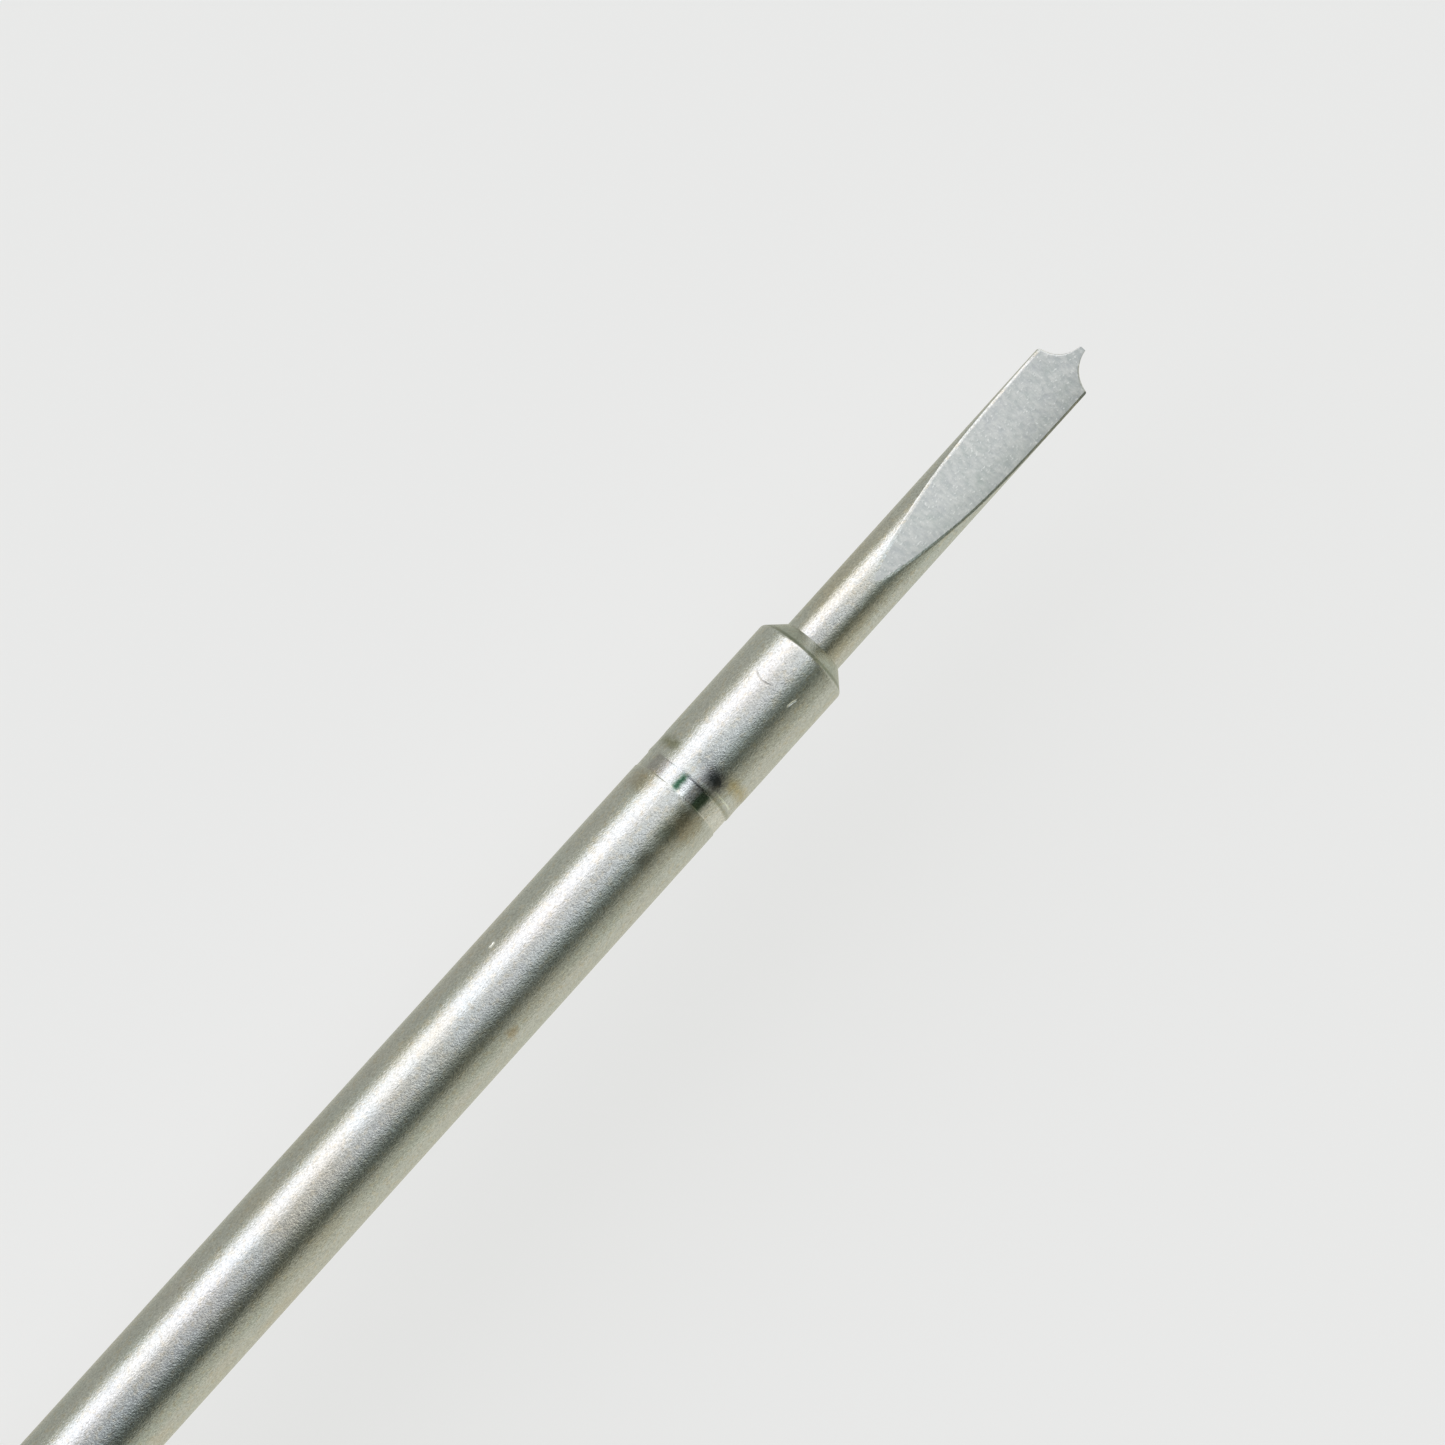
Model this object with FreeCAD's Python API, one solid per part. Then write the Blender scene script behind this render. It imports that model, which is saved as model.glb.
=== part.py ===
"""Watchmaker's screwdriver with a three-point blade and a ball-bearing swivel head.

The tool lies along +X: the origin is the end of the blade's pilot point, on the tool's axis,
and the swivel head is at the far +X end. +Z is up, with the tool lying on a flat of its hexagonal
collar. Every length is in millimetres, and every position along the tool is an X value.
"""

import FreeCAD, Part
import math
import os
from FreeCAD import Vector

# --- driving dimensions -------------------------------------------------------------------------

# Blade: a round rod, hollow-ground on two sides, with two scallops that leave a pilot point. Each
# flat is hollow in front and eased behind, where it runs out of the rod.
BLADE_R = 0.80
BLADE_REAR = 21.80
TIP_HALF_THICKNESS = 0.17
HOLLOW_RADIUS = 36.5
EASE_FRONT = 5.3
EASE_RADIUS = 26.0
EASE_REAR = 8.4
SCALLOP_R = 0.83
SCALLOP_AHEAD = 0.10
SCALLOP_OFFSET = 0.90
PILOT_END_HALF_WIDTH = 0.08
PILOT_ROOT_HALF_WIDTH = 0.11

# Shank: the slim holder whose bored front end is rolled down on to the blade. Behind its shoulder
# it is a thinner tang with a clamping flat.
SHANK_R = 1.25
SHANK_FRONT = 9.84
SHANK_FRONT_CHAMFER = 0.42
SHOULDER_GAP = 0.02
TANG_R = 1.0
TANG_REAR = 64.0
BLADE_BORE_R = 0.81
BLADE_BORE_END = 22.0
CRIMP_FRONT = 14.33
CRIMP_REAR = 14.81
CRIMP_DEPTH = 0.02
CRIMP_WALL = 0.03
CRIMP_BITE = 0.05
SECOND_CRIMP_FRONT = 13.70
SECOND_CRIMP_REAR = 14.25
SECOND_CRIMP_DEPTH = 0.008
CLAMP_FLAT_FRONT = 48.6
CLAMP_FLAT_Z = 0.72

# Chuck collar: a hexagon that stops the tool rolling, bored for the tang.
COLLAR_FRONT = 45.0
NOSE_R = 2.1
NOSE_REAR = 45.8
COVE_SAG = 0.28
HEX_FRONT = 49.0
HEX_REAR = 57.5
HEX_HALF_FLATS = 4.5
HEX_CORNER_R = 4.95
HEX_FACE_R = 4.25
HEX_SHOULDER_R = 3.95
BOSS_R = 3.0
BOSS_GROOVE = (59.3, 60.0)
BOSS_GROOVE_DEPTH = 0.2
COLLAR_REAR = 60.5
TANG_BORE_R = 1.02
CORE_SOCKET_FRONT = 56.0

# Set screws: headless, with a hexagon socket. They bear on the tang's flat.
SET_SCREW_X = (50.9, 54.1)
SET_SCREW_HOLE_R = 0.80
SET_SCREW_R = 0.78
SET_SCREW_LENGTH = 3.2
SET_SCREW_CHAMFER = 0.15
SET_SCREW_COUNTERSINK = 0.3
SOCKET_HALF_FLATS = 0.35
SOCKET_DEPTH = 0.9

# Handle core: the rod through the grip, with the tail flange and the neck under the head.
CORE_FRONT = 56.2
CORE_R = 2.0
FLANGE_FRONT = 89.5
FLANGE_R = 3.4
FLANGE_RIM_REAR = 90.3
FLANGE_REAR = 94.0
TAIL_R = 2.6
TAIL_COVE_SAG = 0.25
NECK_R = 1.6
NECK_REAR = 94.9
PIVOT_HOLE_END = 87.5

# Grip: a straight-knurled sleeve with two rubber rings, and a ring that gives the blade's size.
SLEEVE_REAR = 86.5
SLEEVE_R = 3.2
SLEEVE_END_R = 3.0
SLEEVE_END_LENGTH = 1.3
SLEEVE_BORE_R = 2.01
SLEEVE_BEVEL = 0.25
SLEEVE_FLUTES = 36
SLEEVE_FLUTE_R = 0.26
SLEEVE_FLUTE_DEPTH = 0.17
GRIP_RING_X = (68.4, 78.6)
GRIP_RING_CORD_R = 0.55
GRIP_GROOVE_R = 2.25
GRIP_GROOVE_HALF_WIDTH = 0.62
COLOUR_RING_R = 3.45
COLOUR_RING_END_R = 3.2

# Swivel head.
HEAD_FRONT = 94.4
HEAD_REAR = 105.0
HEAD_R = 4.5
HEAD_MOUTH_R = 2.75
HEAD_SHOULDER = (95.4, 97.0)
HEAD_SHOULDER_R = 3.87
HEAD_WALL = 0.8
HEAD_NECK_HOLE_R = 1.95
HEAD_RIM_ROUND = 0.35
HEAD_STEP_R = 4.25
HEAD_STEP_WIDTH = 0.3
KNURL_FRONT = 98.6
KNURL_REAR = 102.9
KNURL_R = 4.45
HEAD_FLUTES = 44
HEAD_FLUTE_R = 0.22
HEAD_FLUTE_DEPTH = 0.13
CAVITY_R = 2.9
DISC_FRONT = 100.2
DISC_REAR = 104.4
DISC_SEAT_R = 3.6
DISH_RADIUS = 8.5
DISH_MOUTH_R = 3.1
SEAL_X = 101.6
SEAL_GROOVE_R = 2.9

# Ball bearing, 2 x 5 x 2.5 mm, with its spacer, spring ring and screw.
BEARING_FRONT = 95.2
BEARING_WIDTH = 2.5
BEARING_BORE_R = 1.0
BEARING_R = 2.5
INNER_SHOULDER_R = 1.55
OUTER_SHOULDER_R = 1.95
BEARING_EDGE = 0.08
SHIELD_SEAT_R = 2.15
SHIELD_SEAT_DEPTH = 0.25
SHIELD_INSET = 0.06
SHIELD_THICKNESS = 0.12
SHIELD_INNER_R = 1.62
BALLS = 7
BALL_R = 0.39
RACE_R = 0.41
PITCH_R = 1.75
CAGE_INNER_R = 1.60
CAGE_OUTER_R = 1.90
CAGE_WIDTH = 1.5
CAGE_POCKET_R = 0.43
RETAINER_THICKNESS = 0.28
RETAINER_GROOVE_R = 2.80
RETAINER_INNER_R = 2.15
RETAINER_GAP_DEG = 52.0
SCREW_FRONT = 87.8
SCREW_POINT_CHAMFER = 0.2
SCREW_BOSS_R = 1.45
SCREW_BOSS_LENGTH = 0.15
SCREW_HEAD_R = 1.8
SCREW_HEAD_LENGTH = 0.95
SCREW_SLOT_WIDTH = 0.4
SCREW_SLOT_DEPTH = 0.5

# Shared by every piece.
CLEARANCE = 0.01
EDGE = 0.12

AXIS_X = Vector(1, 0, 0)
AXIS_Y = Vector(0, 1, 0)
AXIS_Z = Vector(0, 0, 1)
ORIGIN = Vector(0, 0, 0)
BEARING_REAR = BEARING_FRONT + BEARING_WIDTH
BEARING_MID = BEARING_FRONT + BEARING_WIDTH / 2


# --- shape helpers ------------------------------------------------------------------------------

def outline(points, place):
    """A closed face from (a, b) points, where place turns a and b into a Vector. A point written
    (a, b, "arc") is the middle of an arc from the point before it to the point after it."""
    edges = []
    count = len(points)
    i = 0
    while i < count:
        start = place(*points[i][:2])
        after = points[(i + 1) % count]
        if len(after) == 3:
            end = place(*points[(i + 2) % count][:2])
            edges.append(Part.Arc(start, place(*after[:2]), end).toShape())
            i += 2
        else:
            edges.append(Part.LineSegment(start, place(*after)).toShape())
            i += 1
    return Part.Face(Part.Wire(edges))


def turned(points):
    """A solid turned about the tool's axis from an outline of (x, radius) points."""
    face = outline(points, lambda x, radius: Vector(x, 0, radius))
    return face.revolve(ORIGIN, AXIS_X, 360)


def rod(front, rear, radius):
    """A plain cylinder on the tool's axis."""
    return Part.makeCylinder(radius, rear - front, Vector(front, 0, 0), AXIS_X)


def tube(front, rear, inner, outer, chamfer):
    """A tube on the tool's axis with its outer edges chamfered."""
    return turned([
        (front, inner),
        (front, outer - chamfer),
        (front + chamfer, outer),
        (rear - chamfer, outer),
        (rear, outer - chamfer),
        (rear, inner),
    ])


def hexagon(centre, half_flats, length, axis):
    """A hexagonal prism from its centre point along an axis. Two of its flats face along Z when
    the axis is X, and along Y when the axis is Z."""
    corner = half_flats / math.cos(math.radians(30))
    across = AXIS_Y if axis.isEqual(AXIS_X, 0) else AXIS_X
    up = AXIS_Z if axis.isEqual(AXIS_X, 0) else AXIS_Y
    corners = []
    for i in range(7):
        angle = math.radians(60 * i)
        corners.append(centre + across * (corner * math.cos(angle)) + up * (corner * math.sin(angle)))
    return Part.Face(Part.makePolygon(corners)).extrude(axis * length)


def around(shape, count):
    """Copies of a shape, evenly spaced round the tool's axis."""
    copies = []
    for i in range(count):
        copy = shape.copy()
        copy.rotate(ORIGIN, AXIS_X, 360.0 * i / count)
        copies.append(copy)
    return copies


def flute_cutters(front, rear, radius, depth, flute_r, count):
    """The straight round cutters that leave a knurl on a cylinder of that radius."""
    centre_r = radius - depth + flute_r
    cutter = Part.makeCylinder(flute_r, rear - front, Vector(front, 0, centre_r), AXIS_X)
    return Part.makeCompound(around(cutter, count))


# --- blade unit ---------------------------------------------------------------------------------

def flat_height(x):
    """How far the ground flat stands from the blade's middle plane at x."""
    if x < EASE_FRONT:
        return TIP_HALF_THICKNESS + HOLLOW_RADIUS - math.sqrt(HOLLOW_RADIUS ** 2 - x ** 2)
    steepest = math.asin(EASE_FRONT / HOLLOW_RADIUS)
    crest_x = EASE_FRONT + EASE_RADIUS * math.sin(steepest)
    hollow_rise = HOLLOW_RADIUS * (1 - math.cos(steepest))
    ease_rise = math.sqrt(EASE_RADIUS ** 2 - (crest_x - x) ** 2) - EASE_RADIUS * math.cos(steepest)
    return TIP_HALF_THICKNESS + hollow_rise + ease_rise


def grind_cutter():
    """The prism that takes one ground flat off the blade's upper side."""
    hollow_mid = EASE_FRONT / 2
    ease_mid = (EASE_FRONT + EASE_REAR) / 2
    margin = 0.2
    above = 2 * BLADE_R
    points = [
        (-margin, flat_height(0)),
        (0, flat_height(0)),
        (hollow_mid, flat_height(hollow_mid), "arc"),
        (EASE_FRONT, flat_height(EASE_FRONT)),
        (ease_mid, flat_height(ease_mid), "arc"),
        (EASE_REAR, flat_height(EASE_REAR)),
        (EASE_REAR, above),
        (-margin, above),
    ]
    face = outline(points, lambda x, z: Vector(x, -2 * BLADE_R, z))
    return face.extrude(Vector(0, 4 * BLADE_R, 0))


def scallop_x(y):
    """How far behind the pilot's end the scallop lies at a distance y from the tool's axis."""
    return math.sqrt(SCALLOP_R ** 2 - (SCALLOP_OFFSET - y) ** 2) - SCALLOP_AHEAD


def scallop_cutter(side):
    """The prism that takes one scallop and the pilot's flank off one side (1 or -1) of the tip."""
    margin = 0.2
    outer_y = BLADE_R + margin
    mid_y = (PILOT_ROOT_HALF_WIDTH + outer_y) / 2
    points = [
        (-margin, PILOT_END_HALF_WIDTH),
        (0, PILOT_END_HALF_WIDTH),
        (scallop_x(PILOT_ROOT_HALF_WIDTH), PILOT_ROOT_HALF_WIDTH),
        (scallop_x(mid_y), mid_y, "arc"),
        (scallop_x(outer_y), outer_y),
        (-margin, outer_y),
    ]
    face = outline(points, lambda x, y: Vector(x, side * y, -2 * BLADE_R))
    return face.extrude(Vector(0, 0, 4 * BLADE_R))


def make_blade():
    """The hardened blade, with a shallow neck where the shank is rolled on to it."""
    neck_r = BLADE_R - CRIMP_BITE
    blade = turned([
        (0, 0),
        (0, BLADE_R),
        (CRIMP_FRONT, BLADE_R),
        (CRIMP_FRONT + CRIMP_BITE, neck_r),
        (CRIMP_REAR - CRIMP_BITE, neck_r),
        (CRIMP_REAR, BLADE_R),
        (BLADE_REAR - EDGE, BLADE_R),
        (BLADE_REAR, BLADE_R - EDGE),
        (BLADE_REAR, 0),
    ])
    upper = grind_cutter()
    lower = upper.mirror(ORIGIN, AXIS_Z)
    for cutter in (upper, lower, scallop_cutter(1), scallop_cutter(-1)):
        blade = blade.cut(cutter)
    return blade


def make_shank():
    """The slim holder: bored and rolled on to the blade in front, with a flatted tang behind."""
    shoulder = COLLAR_FRONT - SHOULDER_GAP
    crimp_r = SHANK_R - CRIMP_DEPTH
    second_mid = (SECOND_CRIMP_FRONT + SECOND_CRIMP_REAR) / 2
    bite_r = BLADE_BORE_R - CRIMP_BITE
    shank = turned([
        (SHANK_FRONT, BLADE_BORE_R),
        (SHANK_FRONT, SHANK_R - SHANK_FRONT_CHAMFER),
        (SHANK_FRONT + SHANK_FRONT_CHAMFER, SHANK_R),
        (SECOND_CRIMP_FRONT, SHANK_R),
        (second_mid, SHANK_R - SECOND_CRIMP_DEPTH, "arc"),
        (SECOND_CRIMP_REAR, SHANK_R),
        (CRIMP_FRONT, SHANK_R),
        (CRIMP_FRONT + CRIMP_WALL, crimp_r),
        (CRIMP_REAR - CRIMP_WALL, crimp_r),
        (CRIMP_REAR, SHANK_R),
        (shoulder - EDGE, SHANK_R),
        (shoulder, SHANK_R - EDGE),
        (shoulder, TANG_R),
        (TANG_REAR - EDGE, TANG_R),
        (TANG_REAR, TANG_R - EDGE),
        (TANG_REAR, 0),
        (BLADE_BORE_END, 0),
        (BLADE_BORE_END, BLADE_BORE_R),
        (CRIMP_REAR - CLEARANCE, BLADE_BORE_R),
        (CRIMP_REAR - CRIMP_BITE - CLEARANCE, bite_r),
        (CRIMP_FRONT + CRIMP_BITE + CLEARANCE, bite_r),
        (CRIMP_FRONT + CLEARANCE, BLADE_BORE_R),
    ])
    above_flat = Part.makeBox(
        TANG_REAR - CLAMP_FLAT_FRONT, 2 * SHANK_R, SHANK_R,
        Vector(CLAMP_FLAT_FRONT, -SHANK_R, CLAMP_FLAT_Z))
    return shank.cut(above_flat)


# --- chuck --------------------------------------------------------------------------------------

def make_chuck_collar():
    """The hexagonal collar: the tang's bore in front and the core's socket behind."""
    groove_front, groove_rear = BOSS_GROOVE
    groove_r = BOSS_R - BOSS_GROOVE_DEPTH
    corner_chamfer = HEX_CORNER_R - HEX_FACE_R
    collar = turned([
        (COLLAR_FRONT, TANG_BORE_R + EDGE),
        (COLLAR_FRONT, NOSE_R - EDGE),
        (COLLAR_FRONT + EDGE, NOSE_R),
        (NOSE_REAR, NOSE_R),
        ((NOSE_REAR + HEX_FRONT) / 2, (NOSE_R + HEX_SHOULDER_R) / 2 - COVE_SAG, "arc"),
        (HEX_FRONT, HEX_SHOULDER_R),
        (HEX_FRONT, HEX_FACE_R),
        (HEX_FRONT + corner_chamfer, HEX_CORNER_R),
        (HEX_REAR - corner_chamfer, HEX_CORNER_R),
        (HEX_REAR, HEX_FACE_R),
        (HEX_REAR, BOSS_R),
        (groove_front - BOSS_GROOVE_DEPTH, BOSS_R),
        (groove_front, groove_r),
        (groove_rear, groove_r),
        (groove_rear + BOSS_GROOVE_DEPTH, BOSS_R),
        (COLLAR_REAR, BOSS_R),
        (COLLAR_REAR, CORE_R),
        (CORE_SOCKET_FRONT, CORE_R),
        (CORE_SOCKET_FRONT, TANG_BORE_R),
        (COLLAR_FRONT + EDGE, TANG_BORE_R),
    ])
    prism = hexagon(
        Vector(COLLAR_FRONT, 0, 0), HEX_HALF_FLATS, COLLAR_REAR - COLLAR_FRONT, AXIS_X)
    collar = collar.common(prism)
    for x in SET_SCREW_X:
        hole = Part.makeCylinder(SET_SCREW_HOLE_R, 2 * HEX_HALF_FLATS, Vector(x, 0, 0), AXIS_Z)
        mouth = Part.makeCone(
            SET_SCREW_HOLE_R, SET_SCREW_HOLE_R + 2 * SET_SCREW_COUNTERSINK,
            2 * SET_SCREW_COUNTERSINK,
            Vector(x, 0, HEX_HALF_FLATS - SET_SCREW_COUNTERSINK), AXIS_Z)
        collar = collar.cut(hole).cut(mouth)
    return collar


def make_set_screw(x):
    """A headless screw with a hexagon socket, standing on the tang's flat."""
    low = CLAMP_FLAT_Z + CLEARANCE
    high = low + SET_SCREW_LENGTH
    end_r = SET_SCREW_R - SET_SCREW_CHAMFER
    face = outline(
        [
            (0, low),
            (end_r, low),
            (SET_SCREW_R, low + SET_SCREW_CHAMFER),
            (SET_SCREW_R, high - SET_SCREW_CHAMFER),
            (end_r, high),
            (0, high),
        ],
        lambda radius, z: Vector(x + radius, 0, z))
    screw = face.revolve(Vector(x, 0, 0), AXIS_Z, 360)
    socket = hexagon(
        Vector(x, 0, high - SOCKET_DEPTH), SOCKET_HALF_FLATS, 2 * SOCKET_DEPTH, AXIS_Z)
    return screw.cut(socket)


# --- handle -------------------------------------------------------------------------------------

def make_handle_core():
    """The rod that runs through the grip, with its tail flange and the neck under the head."""
    core_r = CORE_R - CLEARANCE
    core = turned([
        (CORE_FRONT, 0),
        (CORE_FRONT, core_r - EDGE),
        (CORE_FRONT + EDGE, core_r),
        (FLANGE_FRONT, core_r),
        (FLANGE_FRONT, FLANGE_R - EDGE),
        (FLANGE_FRONT + EDGE, FLANGE_R),
        (FLANGE_RIM_REAR, FLANGE_R),
        ((FLANGE_RIM_REAR + FLANGE_REAR) / 2, (FLANGE_R + TAIL_R) / 2 - TAIL_COVE_SAG, "arc"),
        (FLANGE_REAR - EDGE, TAIL_R),
        (FLANGE_REAR, TAIL_R - EDGE),
        (FLANGE_REAR, NECK_R),
        (NECK_REAR, NECK_R),
        (NECK_REAR, 0),
    ])
    tang_bore = rod(CORE_FRONT, TANG_REAR + SHOULDER_GAP, TANG_BORE_R)
    pivot_hole = rod(PIVOT_HOLE_END, NECK_REAR, BEARING_BORE_R)
    return core.cut(tang_bore).cut(pivot_hole)


def make_grip_sleeve():
    """The straight-knurled sleeve, with plain ends and a groove for each rubber ring."""
    front_end = COLLAR_REAR + SLEEVE_END_LENGTH
    rear_end = SLEEVE_REAR - SLEEVE_END_LENGTH
    points = [
        (COLLAR_REAR, SLEEVE_BORE_R),
        (COLLAR_REAR, SLEEVE_END_R),
        (front_end, SLEEVE_END_R),
        (front_end + SLEEVE_BEVEL, SLEEVE_R),
    ]
    for x in GRIP_RING_X:
        groove_front = x - GRIP_GROOVE_HALF_WIDTH
        groove_rear = x + GRIP_GROOVE_HALF_WIDTH
        points += [
            (groove_front - SLEEVE_BEVEL, SLEEVE_R),
            (groove_front, SLEEVE_R - SLEEVE_BEVEL),
            (groove_front, GRIP_GROOVE_R),
            (groove_rear, GRIP_GROOVE_R),
            (groove_rear, SLEEVE_R - SLEEVE_BEVEL),
            (groove_rear + SLEEVE_BEVEL, SLEEVE_R),
        ]
    points += [
        (rear_end - SLEEVE_BEVEL, SLEEVE_R),
        (rear_end, SLEEVE_END_R),
        (SLEEVE_REAR, SLEEVE_END_R),
        (SLEEVE_REAR, SLEEVE_BORE_R),
    ]
    cutters = flute_cutters(
        COLLAR_REAR, SLEEVE_REAR, SLEEVE_R, SLEEVE_FLUTE_DEPTH, SLEEVE_FLUTE_R, SLEEVE_FLUTES)
    return turned(points).cut(cutters)


def make_grip_rings():
    """Two rubber rings, each seated in a groove of the sleeve."""
    mean_r = GRIP_GROOVE_R + CLEARANCE + GRIP_RING_CORD_R
    rings = []
    for x in GRIP_RING_X:
        rings.append(Part.makeTorus(mean_r, GRIP_RING_CORD_R, Vector(x, 0, 0), AXIS_X))
    return Part.makeCompound(rings)


def make_colour_ring():
    """The barrel-shaped ring whose colour stands for the blade's width."""
    return turned([
        (SLEEVE_REAR, SLEEVE_BORE_R),
        (SLEEVE_REAR, COLOUR_RING_END_R - EDGE),
        (SLEEVE_REAR + EDGE, COLOUR_RING_END_R),
        ((SLEEVE_REAR + FLANGE_FRONT) / 2, COLOUR_RING_R, "arc"),
        (FLANGE_FRONT - EDGE, COLOUR_RING_END_R),
        (FLANGE_FRONT, COLOUR_RING_END_R - EDGE),
        (FLANGE_FRONT, SLEEVE_BORE_R),
    ])


# --- swivel head --------------------------------------------------------------------------------

def make_head_shell():
    """The knurled shell: the bearing's seat in front, the finger disc's seat behind."""
    bearing_seat_r = BEARING_R + CLEARANCE
    groove_front = BEARING_REAR + CLEARANCE
    groove_rear = groove_front + RETAINER_THICKNESS + 2 * CLEARANCE
    cavity_front = groove_rear + SHIELD_SEAT_DEPTH
    shoulder_mid, shoulder_rear = HEAD_SHOULDER
    # The middle of a quarter-round lies this far inside each of the two sides that it joins.
    round_inset = HEAD_RIM_ROUND * (1 - math.cos(math.radians(45)))
    shell = turned([
        (HEAD_FRONT, HEAD_NECK_HOLE_R),
        (HEAD_FRONT, HEAD_MOUTH_R),
        (shoulder_mid, HEAD_SHOULDER_R, "arc"),
        (shoulder_rear, HEAD_R),
        (KNURL_FRONT - 2 * HEAD_STEP_WIDTH, HEAD_R),
        (KNURL_FRONT - HEAD_STEP_WIDTH, HEAD_STEP_R),
        (KNURL_FRONT, HEAD_STEP_R),
        (KNURL_FRONT, KNURL_R),
        (KNURL_REAR, KNURL_R),
        (KNURL_REAR, HEAD_STEP_R),
        (KNURL_REAR + HEAD_STEP_WIDTH, HEAD_STEP_R),
        (KNURL_REAR + 2 * HEAD_STEP_WIDTH, HEAD_R),
        (HEAD_REAR - HEAD_RIM_ROUND, HEAD_R),
        (HEAD_REAR - round_inset, HEAD_R - round_inset, "arc"),
        (HEAD_REAR, HEAD_R - HEAD_RIM_ROUND),
        (HEAD_REAR, DISC_SEAT_R + EDGE),
        (HEAD_REAR - EDGE, DISC_SEAT_R),
        (DISC_FRONT, DISC_SEAT_R),
        (DISC_FRONT, CAVITY_R),
        (cavity_front, CAVITY_R),
        (cavity_front, bearing_seat_r),
        (groove_rear, bearing_seat_r),
        (groove_rear, RETAINER_GROOVE_R),
        (groove_front, RETAINER_GROOVE_R),
        (groove_front, bearing_seat_r),
        (HEAD_FRONT + HEAD_WALL, bearing_seat_r),
        (HEAD_FRONT + HEAD_WALL, HEAD_NECK_HOLE_R),
    ])
    cutters = flute_cutters(
        KNURL_FRONT, KNURL_REAR, KNURL_R, HEAD_FLUTE_DEPTH, HEAD_FLUTE_R, HEAD_FLUTES)
    return shell.cut(cutters)


def dish_floor(radius):
    """Where the dish's floor lies, that far from the tool's axis."""
    rim_drop = DISH_RADIUS - math.sqrt(DISH_RADIUS ** 2 - DISH_MOUTH_R ** 2)
    drop = DISH_RADIUS - math.sqrt(DISH_RADIUS ** 2 - radius ** 2)
    return DISC_REAR - rim_drop + drop


def make_finger_disc():
    """The dished disc that the fingertip rests on, grooved for the ring that holds it."""
    disc_r = DISC_SEAT_R - CLEARANCE
    groove_half = (DISC_SEAT_R - SEAL_GROOVE_R) / 2 + CLEARANCE
    half_mouth = DISH_MOUTH_R / 2
    return turned([
        (DISC_FRONT + CLEARANCE, 0),
        (DISC_FRONT + CLEARANCE, disc_r - EDGE),
        (DISC_FRONT + CLEARANCE + EDGE, disc_r),
        (SEAL_X - groove_half, disc_r),
        (SEAL_X - groove_half, SEAL_GROOVE_R),
        (SEAL_X + groove_half, SEAL_GROOVE_R),
        (SEAL_X + groove_half, disc_r),
        (DISC_REAR - EDGE, disc_r),
        (DISC_REAR, disc_r - EDGE),
        (DISC_REAR, DISH_MOUTH_R),
        (dish_floor(half_mouth), half_mouth, "arc"),
        (dish_floor(0), 0),
    ])


def make_disc_seal():
    """The rubber ring that holds the finger disc in the shell."""
    mean_r = (DISC_SEAT_R + SEAL_GROOVE_R) / 2
    cord_r = (DISC_SEAT_R - SEAL_GROOVE_R) / 2 - CLEARANCE
    return Part.makeTorus(mean_r, cord_r, Vector(SEAL_X, 0, 0), AXIS_X)


# --- bearing and its fixings --------------------------------------------------------------------

def race_half_width(shoulder_r):
    """Half the width of a race groove where it breaks through a ring's shoulder."""
    return math.sqrt(RACE_R ** 2 - (PITCH_R - shoulder_r) ** 2)


def make_bearing_inner_ring():
    """The inner ring, clamped between the spacer and the screw."""
    half = race_half_width(INNER_SHOULDER_R)
    return turned([
        (BEARING_FRONT, BEARING_BORE_R + BEARING_EDGE),
        (BEARING_FRONT, INNER_SHOULDER_R - BEARING_EDGE),
        (BEARING_FRONT + BEARING_EDGE, INNER_SHOULDER_R),
        (BEARING_MID - half, INNER_SHOULDER_R),
        (BEARING_MID, PITCH_R - RACE_R, "arc"),
        (BEARING_MID + half, INNER_SHOULDER_R),
        (BEARING_REAR - BEARING_EDGE, INNER_SHOULDER_R),
        (BEARING_REAR, INNER_SHOULDER_R - BEARING_EDGE),
        (BEARING_REAR, BEARING_BORE_R + BEARING_EDGE),
        (BEARING_REAR - BEARING_EDGE, BEARING_BORE_R),
        (BEARING_FRONT + BEARING_EDGE, BEARING_BORE_R),
    ])


def make_bearing_outer_ring():
    """The outer ring, seated in the head's shell and stepped for its two shields."""
    half = race_half_width(OUTER_SHOULDER_R)
    return turned([
        (BEARING_FRONT, SHIELD_SEAT_R),
        (BEARING_FRONT, BEARING_R - BEARING_EDGE),
        (BEARING_FRONT + BEARING_EDGE, BEARING_R),
        (BEARING_REAR - BEARING_EDGE, BEARING_R),
        (BEARING_REAR, BEARING_R - BEARING_EDGE),
        (BEARING_REAR, SHIELD_SEAT_R),
        (BEARING_REAR - SHIELD_SEAT_DEPTH, SHIELD_SEAT_R),
        (BEARING_REAR - SHIELD_SEAT_DEPTH, OUTER_SHOULDER_R),
        (BEARING_MID + half, OUTER_SHOULDER_R),
        (BEARING_MID, PITCH_R + RACE_R, "arc"),
        (BEARING_MID - half, OUTER_SHOULDER_R),
        (BEARING_FRONT + SHIELD_SEAT_DEPTH, OUTER_SHOULDER_R),
        (BEARING_FRONT + SHIELD_SEAT_DEPTH, SHIELD_SEAT_R),
    ])


def make_bearing_shield(front):
    """One thin shield, fixed in the outer ring and clear of the inner ring."""
    return tube(
        front, front + SHIELD_THICKNESS, SHIELD_INNER_R, SHIELD_SEAT_R - CLEARANCE,
        SHIELD_THICKNESS / 4)


def make_bearing_balls():
    """The balls, midway between the two rings."""
    ball = Part.makeSphere(BALL_R, Vector(BEARING_MID, 0, PITCH_R))
    return Part.makeCompound(around(ball, BALLS))


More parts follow.
